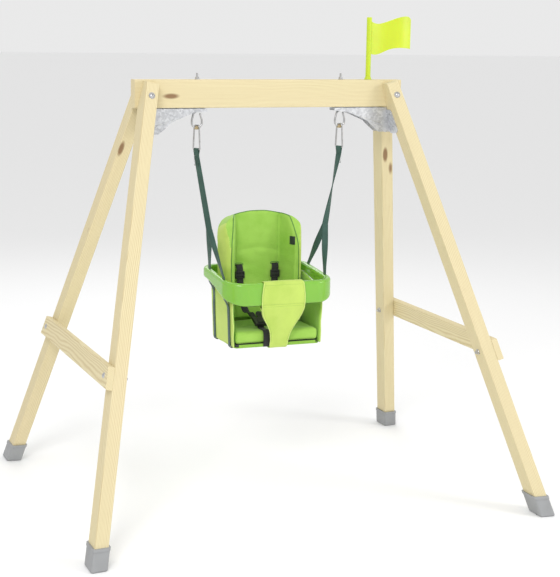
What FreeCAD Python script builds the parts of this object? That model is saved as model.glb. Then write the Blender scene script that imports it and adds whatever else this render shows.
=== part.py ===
"""Toddler bucket swing on a small wooden A-frame, millimetres.

X runs along the beam, +Z is up and the child faces -Y.  The origin is on the ground,
under the middle of the beam.  Each function makes one sub-part, and add() writes it
to parts/ as one STEP file.
"""
import FreeCAD
import Part
import math
import os

V = FreeCAD.Vector
os.makedirs("parts", exist_ok=True)

# ---------------------------------------------------------------- driving dimensions
# timber
BEAM_LENGTH, BEAM_HEIGHT, BEAM_DEPTH = 984.0, 95.0, 45.0
BEAM_TOP = 1454.0
LEG_WIDTH, LEG_DEPTH = 45.0, 70.0
LEG_AT_BEAM = 461.0            # leg centreline from the middle, at the beam's lower edge
SIDE_SPLAY = 13.6              # degrees, each leg pair leans outwards
LEG_SPREAD = 21.6              # degrees, front and rear legs spread apart
LEG_TOP_DROP = 8.0             # leg top's centre below the beam's top
BRACE_HEIGHT, BRACE_THICK, BRACE_Z = 70.0, 22.0, 538.0
TIMBER_ROUND = 3.0
# foot caps
CAP_WALL, CAP_FLOOR, CAP_HEIGHT, CAP_ROUND = 4.5, 7.0, 66.0, 7.0
# corner brackets
BRACKET_SHEET = 2.5
BRACKET_INNER_END = 236.0      # from the middle of the beam
BRACKET_DROP = 89.0            # gusset depth below the beam at the legs
BRACKET_LIP = 14.0
BRACKET_FLANGE = 30.0          # flange lying on each leg's inner side
BRACKET_GAP = 2.4              # raised bosses keep the plate off the beam
# hooks, bushes and snap hooks
HOOK_X = 266.0
HOOK_ROD = 7.0
HOOK_BEND = 18.0               # loop's centreline radius
HOOK_AXIS_Z = 1290.5           # centre of the rod at the bottom of the loop
HOOK_THREAD_OUT = 22.0         # thread standing above the beam
BUSH_WALL, BUSH_SWEEP = 2.6, 48.0
SNAP_ROD = 5.5
SNAP_TOP_HALF, SNAP_BOTTOM_HALF = 11.0, 15.5
SNAP_TOP_BEND, SNAP_BOTTOM_BEND = 9.0, 4.5
SNAP_BOTTOM_Z = 1217.0
SNAP_TURN = -62.0              # degrees, the snap hook's plane about the vertical
GATE_PIVOT_Z, GATE_NOSE_Z = 1238.0, 1283.0
GATE_PIN = 2.0
# webbing
WEB_WIDTH, WEB_THICK = 22.0, 2.0
LOOP_CLOSE_Z = 1196.0          # where the two layers come together under the snap hook
FORK_Z = 945.0                 # where the two layers part
UNDER_SEAT = 60.0              # length sewn under the seat
# guard ring
RING_HALF_WIDTH, RING_WALL = 201.0, 24.0
RING_FRONT, RING_REAR = -158.0, 150.0
RING_FRONT_RADIUS, RING_REAR_RADIUS = 75.0, 55.0
RING_TOP_FRONT, RING_TOP_REAR = 768.0, 795.0
RING_LOW_FRONT, RING_LOW_MIDDLE, RING_LOW_REAR = 684.0, 737.0, 757.0
RING_SKIN, RING_EDGE = 3.0, 9.5
STRAP_FRONT_Y, STRAP_REAR_Y = -75.0, 76.0
# seat
SEAT_FLOOR_Z = 536.0
COVER_THICK, BOARD_THICK = 3.0, 8.0
CUSHION_HEIGHT, CUSHION_ROUND = 44.0, 12.0
SEAT_HALF_WIDTH = 172.0        # outer face of the side panels at the ring
SEAT_TAPER = 7.0               # how much narrower each side is at the bottom
SEAT_FRONT, SEAT_REAR = -110.0, 122.0
PANEL_THICK = 7.0
BACK_TOP_Z = 994.0
BACK_HALF_WIDTH = 160.0
WING_TIP_X, WING_TIP_Y, WING_LIP = 128.0, 10.0, 6.0
BACK_FACE_HALF, BACK_FACE_Y = 85.0, 103.0
CROTCH_THICK = 4.0
# harness
BELT_WIDTH, BELT_THICK = 25.0, 1.8
BELT_SLOT_X, BELT_SLOT_Z = 69.0, 794.0
ADJUSTER_Z = 757.0
BUCKLE_X, BUCKLE_Y, BUCKLE_Z = -42.0, -42.0, 611.5
BUCKLE_WIDTH, BUCKLE_HEIGHT, BUCKLE_DEEP, BUCKLE_LEAN = 44.0, 40.0, 13.0, 65.0
# flag
FLAG_X, FLAG_POLE, FLAG_POLE_TOP = 372.0, 18.0, 1671.0
FLAG_REACH, FLAG_SHEET = 162.0, 4.0
PEG_D, PEG_HEIGHT = 8.0, 60.0
# clearances
SLACK = 0.3                    # between pieces that only rest on each other
THREAD_SLACK = 0.05            # screw or bolt in its hole
RUNNING = 0.06                 # pin in the part that turns on it

# ---------------------------------------------------------------- derived values
BEAM_LOW = BEAM_TOP - BEAM_HEIGHT
HALF_DEPTH = BEAM_DEPTH / 2
SPLAY, SPREAD = math.radians(SIDE_SPLAY), math.radians(LEG_SPREAD)
CUSHION_LOW = SEAT_FLOOR_Z + COVER_THICK + BOARD_THICK + 2 * SLACK
CUSHION_TOP = CUSHION_LOW + CUSHION_HEIGHT
SIDES = (("left", -1), ("right", 1))
ENDS = (("front", -1), ("rear", 1))
UP = V(0, 0, 1)
ALL = {}


# ---------------------------------------------------------------- helpers
def add(name, shape):
    """Write one sub-part, which may hold several separate solids."""
    shape = shape.removeSplitter() if len(shape.Solids) == 1 else shape
    if not shape.isValid() or not shape.Solids:
        raise RuntimeError("bad shape: " + name)
    shape.exportStep("parts/%s.step" % name)
    ALL[name] = shape
    print("%-28s %2d solids %10.0f mm3" % (name, len(shape.Solids), shape.Volume))


def prism(points, along):
    """Extrude a closed polygon of points."""
    corners = [V(*p) for p in points]
    return Part.Face(Part.makePolygon(corners + corners[:1])).extrude(V(*along))


def rod_between(start, end, radius):
    """Round bar from one point to another."""
    start, end = V(*start), V(*end)
    return Part.makeCylinder(radius, (end - start).Length, start, end - start)


def tube_between(start, end, radius, bore):
    """Washer, sleeve or nut body round a line."""
    return rod_between(start, end, radius).cut(rod_between(start, end, bore))


def hexagon(centre, axis, across_flats, height, bore):
    """Hexagon nut standing on centre, with its corners bevelled."""
    axis = V(*axis).normalize()
    side = axis.cross(UP) if abs(axis.z) < 0.9 else V(1, 0, 0)
    side.normalize()
    other = axis.cross(side)
    radius = across_flats / math.sqrt(3)
    ring = []
    for k in range(6):
        turn = math.radians(60 * k)
        ring.append(V(*centre) + side * (radius * math.cos(turn)) + other * (radius * math.sin(turn)))
    body = Part.Face(Part.makePolygon(ring + ring[:1])).extrude(axis * height)
    bevel = Part.makeCone(radius + height, across_flats * 0.47, height * 1.6 + 0.5,
                          V(*centre) - axis * (0.6 * height), axis)
    body = body.common(bevel)
    return body.cut(Part.makeCylinder(bore, height * 3, V(*centre) - axis * height, axis))


def dome(centre, axis, radius, height):
    """Mushroom head: a flat-bottomed spherical cap."""
    axis = V(*axis).normalize()
    ball = (radius * radius + height * height) / (2 * height)
    sphere = Part.makeSphere(ball, V(*centre) - axis * (ball - height))
    return sphere.common(Part.makeCylinder(radius * 1.2, height * 1.5, V(*centre), axis))


def route(points, radii):
    """Straight runs through the points, joined by tangent arcs at the inner points."""
    points = [V(*p) for p in points]
    edges, last = [], points[0]
    for before, corner, after, radius in zip(points, points[1:], points[2:], radii):
        inwards = (before - corner).normalize()
        outwards = (after - corner).normalize()
        half = (math.pi - inwards.getAngle(outwards)) / 2
        cut = radius * math.tan(half)
        start, end = corner + inwards * cut, corner + outwards * cut
        middle_way = (inwards + outwards).normalize()
        middle = corner + middle_way * (radius / math.cos(half) - radius)
        if (start - last).Length > 1e-6:
            edges.append(Part.makeLine(last, start))
        edges.append(Part.Arc(start, middle, end).toShape())
        last = end
    edges.append(Part.makeLine(last, points[-1]))
    return Part.Wire(edges)


def swept_rod(path, radius):
    """Round bar bent along a route."""
    start = path.Edges[0]
    circle = Part.makeCircle(radius, start.valueAt(start.FirstParameter),
                             start.tangentAt(start.FirstParameter))
    return path.makePipeShell([Part.Wire([circle])], True, False)


def band(points, thick, low, high, side=1):
    """Sheet of even thickness: an open line in YZ, thickened, between two X values.
    Side 1 or -1 thickens it to one side of the line, and 0 to both sides equally."""
    line = [V(low, y, z) for y, z in points]
    near, far = [], []
    for k, here in enumerate(line):
        normals = []
        if k > 0:
            run = here - line[k - 1]
            normals.append(V(0, -run.z, run.y).normalize())
        if k < len(line) - 1:
            run = line[k + 1] - here
            normals.append(V(0, -run.z, run.y).normalize())
        mean = normals[0] + normals[-1]
        mean = mean * (1 / mean.Length)
        mitre = mean * (thick / mean.dot(normals[0]))
        near.append(here + mitre * ((side - 1) / 2))
        far.append(here + mitre * ((side + 1) / 2))
    outline = near + far[::-1]
    return Part.Face(Part.makePolygon(outline + outline[:1])).extrude(V(high - low, 0, 0))


def compound(shapes):
    return Part.makeCompound(shapes)


def mirrored(shape):
    return shape.mirror(V(0, 0, 0), V(1, 0, 0))


# ---------------------------------------------------------------- leg geometry
def leg_axes(sx, sy):
    """Across the leg, down the leg, outwards through its depth, and its reference point."""
    across = V(sx * math.cos(SPLAY), 0, math.sin(SPLAY))
    down = V(sx * math.sin(SPLAY) * math.cos(SPREAD), sy * math.sin(SPREAD),
             -math.cos(SPLAY) * math.cos(SPREAD))
    outwards = V(-sx * math.sin(SPLAY) * math.sin(SPREAD), sy * math.cos(SPREAD),
                 math.cos(SPLAY) * math.sin(SPREAD))
    corner = V(sx * LEG_AT_BEAM, sy * HALF_DEPTH, BEAM_LOW)
    return across, down, outwards, corner


def on_side_plane(sx, y, slope, off=0.0):
    """Point on a leg pair's tilted plane, slope mm below the beam, off mm outwards."""
    return V(sx * (LEG_AT_BEAM + slope * math.sin(SPLAY) + off * math.cos(SPLAY)), y,
             BEAM_LOW - slope * math.cos(SPLAY) + off * math.sin(SPLAY))


def leg_inner_y(slope):
    return HALF_DEPTH + slope * math.tan(SPREAD)


def leg_bar(sx, sy, grow=0.0, top_z=None, low_z=None, round_edges=True):
    """The leg's full section as a bar between two levels, grown outwards by a margin."""
    across, down, outwards, corner = leg_axes(sx, sy)
    level = lambda z: (corner.z - z) / -down.z if down.z else 0.0
    start = corner + down * level(top_z)
    length = level(low_z) - level(top_z)
    first = start - across * (LEG_WIDTH / 2 + grow) - outwards * grow
    wide, deep = across * (LEG_WIDTH + 2 * grow), outwards * (LEG_DEPTH + 2 * grow)
    ring = [first, first + wide, first + wide + deep, first + deep]
    bar = Part.Face(Part.makePolygon(ring + ring[:1])).extrude(down * length)
    if round_edges:
        long_edges = [e for e in bar.Edges if abs(e.Length - length) < 0.01]
        bar = bar.makeFillet(TIMBER_ROUND + grow, long_edges)
    return bar


# ---------------------------------------------------------------- fastener places
def leg_screw_line(sx, sy):
    """Head seat on the leg's outer face, and the unit vector into the beam."""
    across, down, outwards, corner = leg_axes(sx, sy)
    level = corner + outwards * LEG_DEPTH
    run = (level.z - (BEAM_TOP - LEG_SCREW_DROP)) / -down.z
    return level + down * run, outwards * -1


LEG_SCREW_R, LEG_SCREW_LENGTH, LEG_HEAD_R, LEG_WASHER_R = 4.0, 72.0, 8.5, 11.0
LEG_SCREW_DROP, SCREW_TIP = 50.0, 6.0
WASHER_THICK = 1.6
BRACE_BOLT_R, BRACE_HEAD_R = 4.0, 9.5
PLATE_SCREW_R, PLATE_HEAD_R = 2.6, 5.2
PLATE_SCREW_X = (330.0, 402.0)
FLANGE_SCREWS = (20.0, 62.0)   # down the flange, from the beam


def brace_bolt_places(sx):
    """Where each brace bolt crosses the outer face of the brace."""
    slope = (BEAM_LOW - BRACE_Z) / math.cos(SPLAY)
    y = leg_inner_y(slope) + 0.5 * LEG_DEPTH / math.cos(SPREAD)
    return [on_side_plane(sx, sy * y, slope, LEG_WIDTH / 2 + BRACE_THICK) for sy in (-1, 1)]


def flange_screw_places(sx):
    """Screw head seats on the bracket's flanges."""
    places = []
    for sy in (-1, 1):
        for slope in FLANGE_SCREWS:
            y = leg_inner_y(slope) + 0.5 * BRACKET_FLANGE
            places.append(on_side_plane(sx, sy * y, slope, -LEG_WIDTH / 2 - BRACKET_SHEET))
    return places


# ---------------------------------------------------------------- frame
def make_beam():
    beam = Part.makeBox(BEAM_LENGTH, BEAM_DEPTH, BEAM_HEIGHT,
                        V(-BEAM_LENGTH / 2, -HALF_DEPTH, BEAM_LOW))
    long_edges = [e for e in beam.Edges if abs(e.Length - BEAM_LENGTH) < 0.01]
    beam = beam.makeFillet(TIMBER_ROUND, long_edges)
    cuts = []
    for _, sx in SIDES:
        bore = HOOK_ROD / 2 + THREAD_SLACK
        cuts.append(rod_between((sx * HOOK_X, 0, BEAM_LOW - 5), (sx * HOOK_X, 0, BEAM_TOP + 5), bore))
        for x in PLATE_SCREW_X:
            cuts.append(rod_between((sx * x, 0, BEAM_LOW - 5), (sx * x, 0, BEAM_LOW + 32),
                                    PLATE_SCREW_R + THREAD_SLACK))
        for _, sy in ENDS:
            seat, inwards = leg_screw_line(sx, sy)
            cuts.append(Part.makeCylinder(LEG_SCREW_R + THREAD_SLACK, LEG_SCREW_LENGTH + SCREW_TIP,
                                          seat, inwards))
    cuts.append(rod_between((FLAG_X, 0, BEAM_TOP - 40), (FLAG_X, 0, BEAM_TOP + 5),
                            PEG_D * 0.3 + THREAD_SLACK))
    return beam.cut(compound(cuts))


def make_leg(sx, sy):
    across, down, outwards, corner = leg_axes(sx, sy)
    leg = leg_bar(sx, sy, 0.0, BEAM_TOP + 60, -60)
    beam_side = Part.makeBox(4 * BEAM_LENGTH, BEAM_DEPTH + 0.02, 400,
                             V(-2 * BEAM_LENGTH, -HALF_DEPTH - 0.01, BEAM_LOW - 60))
    ground = Part.makeBox(4000, 4000, 400, V(-2000, -2000, CAP_FLOOR + SLACK - 400))
    rise = (BEAM_HEIGHT - LEG_TOP_DROP) / math.cos(SPLAY)
    top = on_side_plane(sx, 0, -rise)
    square = V(-sx * math.sin(SPLAY), 0, math.cos(SPLAY))
    lid = Part.makeBox(400, 400, 400, V(-200, -200, 0))
    lid.Placement = FreeCAD.Placement(top, FreeCAD.Rotation(UP, square))
    lid = lid.copy()
    cuts = [beam_side, ground, lid]
    seat, inwards = leg_screw_line(sx, sy)
    cuts.append(Part.makeCylinder(LEG_SCREW_R + THREAD_SLACK, 200, seat - inwards * 20, inwards))
    side = V(sx * math.cos(SPLAY), 0, math.sin(SPLAY))
    for place, own in zip(brace_bolt_places(sx), (-1, 1)):
        if own == sy:
            cuts.append(Part.makeCylinder(BRACE_BOLT_R + THREAD_SLACK, 160, place + side * 20, side * -1))
    for place in flange_screw_places(sx):
        if place.y * sy > 0:
            cuts.append(Part.makeCylinder(PLATE_SCREW_R + THREAD_SLACK, 34, place, side))
    return leg.cut(compound(cuts))


def make_foot_cap(sx, sy):
    """Moulded boot: a pocket that follows the leg, a rim and a flat tread."""
    outer = leg_bar(sx, sy, CAP_WALL, CAP_HEIGHT + 60, -60)
    slab = Part.makeBox(4000, 4000, CAP_HEIGHT, V(-2000, -2000, 0))
    outer = outer.common(slab)
    tread = [e for e in outer.Edges if e.BoundBox.ZMax < 0.01]
    outer = outer.makeFillet(CAP_ROUND * 0.6, tread)
    across, down, outwards, corner = leg_axes(sx, sy)
    rim = leg_bar(sx, sy, CAP_WALL + 1.8, CAP_HEIGHT + 60, -60)
    rim = rim.common(Part.makeBox(4000, 4000, 9, V(-2000, -2000, CAP_HEIGHT - 9)))
    pocket = leg_bar(sx, sy, 0.25, CAP_HEIGHT + 80, -60)
    pocket = pocket.common(Part.makeBox(4000, 4000, 400, V(-2000, -2000, CAP_FLOOR)))
    return outer.fuse(rim).cut(pocket)


def make_brace(sx):
    middle = (BEAM_LOW - BRACE_Z) / math.cos(SPLAY)
    corners = []
    for slope in (middle - BRACE_HEIGHT / 2, middle + BRACE_HEIGHT / 2):
        reach = leg_inner_y(slope) + LEG_DEPTH / math.cos(SPREAD)
        pair = [on_side_plane(sx, -reach, slope, LEG_WIDTH / 2),
                on_side_plane(sx, reach, slope, LEG_WIDTH / 2)]
        corners += pair if not corners else pair[::-1]
    side = V(sx * math.cos(SPLAY), 0, math.sin(SPLAY))
    brace = Part.Face(Part.makePolygon(corners + corners[:1])).extrude(side * BRACE_THICK)
    long_edges = [e for e in brace.Edges if e.Length > 6 * BRACE_HEIGHT]
    brace = brace.makeFillet(TIMBER_ROUND, long_edges)
    holes = [Part.makeCylinder(BRACE_BOLT_R + THREAD_SLACK, 80, place + side * 20, side * -1)
             for place in brace_bolt_places(sx)]
    return brace.cut(compound(holes))


def make_leg_fasteners():
    """Coach screws that hold each leg to the beam, and their washers."""
    screws, washers = [], []
    for _, sx in SIDES:
        for _, sy in ENDS:
            seat, inwards = leg_screw_line(sx, sy)
            lifted = seat - inwards * WASHER_THICK
            shank = Part.makeCylinder(LEG_SCREW_R, LEG_SCREW_LENGTH, lifted, inwards)
            tip = Part.makeCone(LEG_SCREW_R, 0.8, SCREW_TIP, lifted + inwards * LEG_SCREW_LENGTH, inwards)
            head = dome(lifted, inwards * -1, LEG_HEAD_R, 5.0)
            socket = hexagon(lifted - inwards * 3.0, inwards * -1, 5.0, 4.0, 0.01)
            screws.append(head.cut(socket).fuse([shank.cut(tip), tip]).removeSplitter())
            washers.append(tube_between(seat, lifted, LEG_WASHER_R, LEG_SCREW_R + THREAD_SLACK))
    return compound(screws), compound(washers)


def make_brace_fasteners():
    bolts, washers, nuts = [], [], []
    for _, sx in SIDES:
        side = V(sx * math.cos(SPLAY), 0, math.sin(SPLAY))
        grip = BRACE_THICK + LEG_WIDTH
        for place in brace_bolt_places(sx):
            back = place - side * grip
            head = dome(place, side, BRACE_HEAD_R, 5.5)
            shank = rod_between(place, back - side * 13, BRACE_BOLT_R)
            bolts.append(head.fuse(shank).removeSplitter())
            washers.append(tube_between(back, back - side * WASHER_THICK, 10.0,
                                        BRACE_BOLT_R + THREAD_SLACK))
            nuts.append(hexagon(back - side * WASHER_THICK, side * -1, 13.0, 6.5,
                                BRACE_BOLT_R + THREAD_SLACK))
    return compound(bolts), compound(washers), compound(nuts)


# ---------------------------------------------------------------- corner brackets
def make_bracket():
    """Right-hand pressed bracket: channel under the beam, gussets, flanges on the legs."""
    plate_top = BEAM_LOW - BRACKET_GAP
    outer_y = HALF_DEPTH - 0.5
    splay_at = lambda drop: (LEG_AT_BEAM - LEG_WIDTH / 2 / math.cos(SPLAY)
                             + drop * math.tan(SPLAY) - 0.1)
    low = BEAM_LOW - BRACKET_DROP
    top_x, low_x = splay_at(BRACKET_GAP), splay_at(BRACKET_DROP)
    start = V(BRACKET_INNER_END, 0, plate_top)
    lip = V(BRACKET_INNER_END, 0, plate_top - BRACKET_LIP + 4)
    bend_in = V(BRACKET_INNER_END + 46, 0, plate_top - BRACKET_LIP)
    middle = V((bend_in.x + low_x) / 2 - 6, 0, (bend_in.z + low) / 2 + 3)
    bend_out = V(low_x - 50, 0, low + 1)
    first = Part.Arc(bend_in, V((bend_in.x * 0.55 + middle.x * 0.45), 0,
                                bend_in.z * 0.62 + middle.z * 0.38 - 1), middle).toShape()
    second = Part.Arc(middle, V((middle.x * 0.45 + bend_out.x * 0.55), 0,
                                middle.z * 0.38 + bend_out.z * 0.62 + 1), bend_out).toShape()
    corner, top = V(low_x, 0, low), V(top_x, 0, plate_top)
    edges = [Part.makeLine(start, lip), Part.makeLine(lip, bend_in), first, second,
             Part.makeLine(bend_out, corner), Part.makeLine(corner, top), Part.makeLine(top, start)]
    outline = Part.Face(Part.Wire(edges))
    outline.translate(V(0, -outer_y, 0))
    solid = outline.extrude(V(0, 2 * outer_y, 0))
    inside = Part.makeBox(600, 2 * (outer_y - BRACKET_SHEET), 400,
                          V(BRACKET_INNER_END - 50, -outer_y + BRACKET_SHEET,
                            plate_top - BRACKET_SHEET - 400))
    channel = solid.cut(inside)
    side = V(math.cos(SPLAY), 0, math.sin(SPLAY))
    flanges = []
    deep = BRACKET_DROP / math.cos(SPLAY)
    for _, sy in ENDS:
        near = outer_y - BRACKET_SHEET
        pts = [(near, 4.0), (near, deep - 0.6), (leg_inner_y(deep) + 8, deep - 4),
               (leg_inner_y(deep - 16) + BRACKET_FLANGE, deep - 16),
               (leg_inner_y(8) + BRACKET_FLANGE, 8), (leg_inner_y(4) + BRACKET_FLANGE - 5, 4.0)]
        ring = [on_side_plane(1, sy * y, s, -LEG_WIDTH / 2 - 0.1 - BRACKET_SHEET) for y, s in pts]
        flanges.append(Part.Face(Part.makePolygon(ring + ring[:1])).extrude(side * BRACKET_SHEET))
    bracket = channel.fuse(flanges)
    bosses = []
    for x in (HOOK_X,) + PLATE_SCREW_X:
        bosses.append(rod_between((x, 0, plate_top - 1), (x, 0, BEAM_LOW - 0.05), 13.0))
    bracket = bracket.fuse(bosses)
    ribs = []
    for sy in (-1, 1):
        y = sy * (outer_y - 0.2)
        ribs.append(rod_between((BRACKET_INNER_END + 96, y, BEAM_LOW - 34),
                                (low_x - 34, y, BEAM_LOW - BRACKET_DROP + 26), 2.2))
    bracket = bracket.fuse(ribs)
    cuts = [rod_between((HOOK_X, 0, BEAM_LOW - 30), (HOOK_X, 0, BEAM_LOW + 5), HOOK_ROD / 2 + 0.4)]
    for x in PLATE_SCREW_X:
        cuts.append(rod_between((x, 0, BEAM_LOW - 30), (x, 0, BEAM_LOW + 5), PLATE_SCREW_R + 0.2))
    for place in flange_screw_places(1):
        cuts.append(Part.makeCylinder(PLATE_SCREW_R + 0.2, 12, place - side * 4, side))
    return bracket.cut(compound(cuts))


def screw(seat, inwards, radius, head_radius, length):
    """Pan-head screw with a cross recess."""
    head = dome(seat, inwards * -1, head_radius, 3.2)
    shank = Part.makeCylinder(radius, length, seat, inwards)
    tip = Part.makeCone(radius, 0.4, 4, seat + inwards * length, inwards)
    body = head.fuse([shank, tip])
    side = inwards.cross(V(0, 1, 0)).normalize() if abs(inwards.y) < 0.9 else V(1, 0, 0)
    other = inwards.cross(side)
    top = seat - inwards * 4
    for along, wide in ((side, other), (other, side)):
        first = top - along * 2.6 - wide * 0.5
        ring = [first, first + along * 5.2, first + along * 5.2 + wide, first + wide]
        body = body.cut(Part.Face(Part.makePolygon(ring + ring[:1])).extrude(inwards * 2.6))
    return body


def make_bracket_screws(sx):
    side = V(sx * math.cos(SPLAY), 0, math.sin(SPLAY))
    plate_low = BEAM_LOW - BRACKET_GAP - BRACKET_SHEET
    screws = [screw(V(sx * x, 0, plate_low - 0.05), UP, PLATE_SCREW_R, PLATE_HEAD_R, 30)
              for x in PLATE_SCREW_X]
    screws += [screw(place - side * 0.15, side, PLATE_SCREW_R, PLATE_HEAD_R, 26)
               for place in flange_screw_places(sx)]
    return compound(screws)


# ---------------------------------------------------------------- hooks and snap hooks
def make_hook(sx):
    x, low, bend = sx * HOOK_X, HOOK_AXIS_Z, HOOK_BEND
    waist = BEAM_LOW - BRACKET_GAP - BRACKET_SHEET - 6
    points = [(x, 0, BEAM_TOP + HOOK_THREAD_OUT), (x, 0, waist), (x - 12, 0, waist - 9),
              (x - bend, 0, low + 26), (x - bend, 0, low), (x + bend, 0, low),
              (x + bend, 0, low + 26), (x + 12, 0, waist - 11)]
    path = route(points, (6, 6, 30, bend * 0.98, bend * 0.98, 30))
    hook = swept_rod(path, HOOK_ROD / 2)
    return hook.fuse(Part.makeSphere(HOOK_ROD / 2, V(*points[-1])))


def make_hook_fasteners():
    washers, nuts = [], []
    for _, sx in SIDES:
        foot = (sx * HOOK_X, 0, BEAM_TOP)
        seat = (sx * HOOK_X, 0, BEAM_TOP + WASHER_THICK)
        bore = HOOK_ROD / 2 + THREAD_SLACK
        washers.append(tube_between(foot, seat, 9.0, bore))
        nuts.append(hexagon(seat, (0, 0, 1), 13.0, 7.5, bore))
    return compound(washers), compound(nuts)


def make_bush(sx):
    """Plastic sleeve on the lowest part of the hook, bent with the rod."""
    centre = V(sx * HOOK_X, 0, HOOK_AXIS_Z + HOOK_BEND)
    half = math.radians(BUSH_SWEEP / 2)
    start = centre + V(-HOOK_BEND * math.sin(half), 0, -HOOK_BEND * math.cos(half))
    tangent = V(math.cos(half), 0, -math.sin(half))
    inner, outer = HOOK_ROD / 2 + 0.15, HOOK_ROD / 2 + BUSH_WALL
    solids = []
    for radius in (outer, inner):
        disc = Part.Face(Part.Wire([Part.makeCircle(radius, start, tangent)]))
        solids.append(disc.revolve(centre, V(0, -1, 0), BUSH_SWEEP))
    return solids[0].cut(solids[1])


SNAP_TOP_Z = HOOK_AXIS_Z + HOOK_ROD / 2 + BUSH_WALL + SLACK + SNAP_ROD / 2


def snap_place(shape, sx):
    """Turn a snap-hook piece about the vertical and hang it on its hook."""
    shape.rotate(V(0, 0, 0), UP, SNAP_TURN)
    shape.translate(V(sx * HOOK_X, 0, 0))
    return shape


def gate_line_x(z):
    """Centre of the snap hook's gated leg at a level."""
    share = (SNAP_TOP_Z - z) / (SNAP_TOP_Z - SNAP_BOTTOM_Z)
    return SNAP_TOP_HALF + share * (SNAP_BOTTOM_HALF - SNAP_TOP_HALF)


GATE_TONGUE, GATE_SLOT = 1.2, 1.55


def gate_axis():
    """Unit vector up the gate."""
    low = V(gate_line_x(GATE_PIVOT_Z), 0, GATE_PIVOT_Z)
    high = V(gate_line_x(GATE_NOSE_Z), 0, GATE_NOSE_Z)
    return low, (high - low).normalize(), (high - low).Length


def make_snap_body(sx):
    radius = SNAP_ROD / 2
    pivot, along, _ = gate_axis()
    nose = V(gate_line_x(GATE_NOSE_Z + 0.45), 0, GATE_NOSE_Z + 0.45)
    end = pivot + along * 3.0
    points = [nose, (SNAP_TOP_HALF, 0, SNAP_TOP_Z), (-SNAP_TOP_HALF, 0, SNAP_TOP_Z),
              (-SNAP_BOTTOM_HALF, 0, SNAP_BOTTOM_Z), (SNAP_BOTTOM_HALF, 0, SNAP_BOTTOM_Z), end]
    bends = (SNAP_TOP_BEND, SNAP_TOP_BEND, SNAP_BOTTOM_BEND, SNAP_BOTTOM_BEND)
    bent = swept_rod(route(points, bends), radius)
    slot_foot = pivot - along * 7.0
    for s in (-1, 1):
        first = slot_foot + V(-6, s * GATE_TONGUE, 0)
        ring = [first, first + V(12, 0, 0), first + V(12, s * 5, 0), first + V(0, s * 5, 0)]
        bent = bent.cut(Part.Face(Part.makePolygon(ring + ring[:1])).extrude(along * 20))
    hole = rod_between(pivot + V(0, -9, 0), pivot + V(0, 9, 0), GATE_PIN / 2 + RUNNING)
    return snap_place(bent.cut(hole), sx)


def make_gate(sx):
    radius = SNAP_ROD / 2
    pivot, along, length = gate_axis()
    foot = pivot - along * 4.5
    gate = rod_between(foot, pivot + along * length, radius)
    across = V(along.z, 0, -along.x)
    first = pivot - along * 9 - across * 6 + V(0, -GATE_SLOT, 0)
    ring = [first, first + across * 12, first + across * 12 + V(0, 2 * GATE_SLOT, 0),
            first + V(0, 2 * GATE_SLOT, 0)]
    gate = gate.cut(Part.Face(Part.makePolygon(ring + ring[:1])).extrude(along * 14.5))
    hole = rod_between(pivot + V(0, -9, 0), pivot + V(0, 9, 0), GATE_PIN / 2)
    return snap_place(gate.cut(hole), sx)


def make_gate_pin(sx):
    pivot, _, _ = gate_axis()
    reach = SNAP_ROD / 2 + 0.4
    return snap_place(rod_between(pivot + V(0, -reach, 0), pivot + V(0, reach, 0), GATE_PIN / 2), sx)


# ---------------------------------------------------------------- hanging webbing
RING_MID_X = RING_HALF_WIDTH - RING_WALL / 2


def ring_top_z(y):
    share = (y - RING_FRONT) / (RING_REAR - RING_FRONT)
    return RING_TOP_FRONT + share * (RING_TOP_REAR - RING_TOP_FRONT)


def ribbon(stations):
    """Webbing through stations of (centre, turn of its width in degrees, offset, layer side)."""
    wires = []
    for centre, turn, offset in stations:
        angle = math.radians(turn)
        wide = V(math.cos(angle), math.sin(angle), 0) * (WEB_WIDTH / 2)
        flat = V(-math.sin(angle), math.cos(angle), 0)
        middle = centre + flat * offset
        thin = flat * (WEB_THICK / 2)
        ring = [middle - wide - thin, middle + wide - thin, middle + wide + thin, middle - wide + thin]
        wires.append(Part.makePolygon(ring + ring[:1]))
    return Part.makeLoft(wires, True, True)


def blend_value(a, b, share):
    return a + (b - a) * share


# turn of the webbing's width at the snap hook, at the fork, and at the two ring slots
STRAP_TURNS = {-1: (SNAP_TURN, -45.0, -90.0, -90.0), 1: (SNAP_TURN, -178.0, -270.0, -270.0)}
LAYER = WEB_THICK / 2 + 0.05


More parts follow.
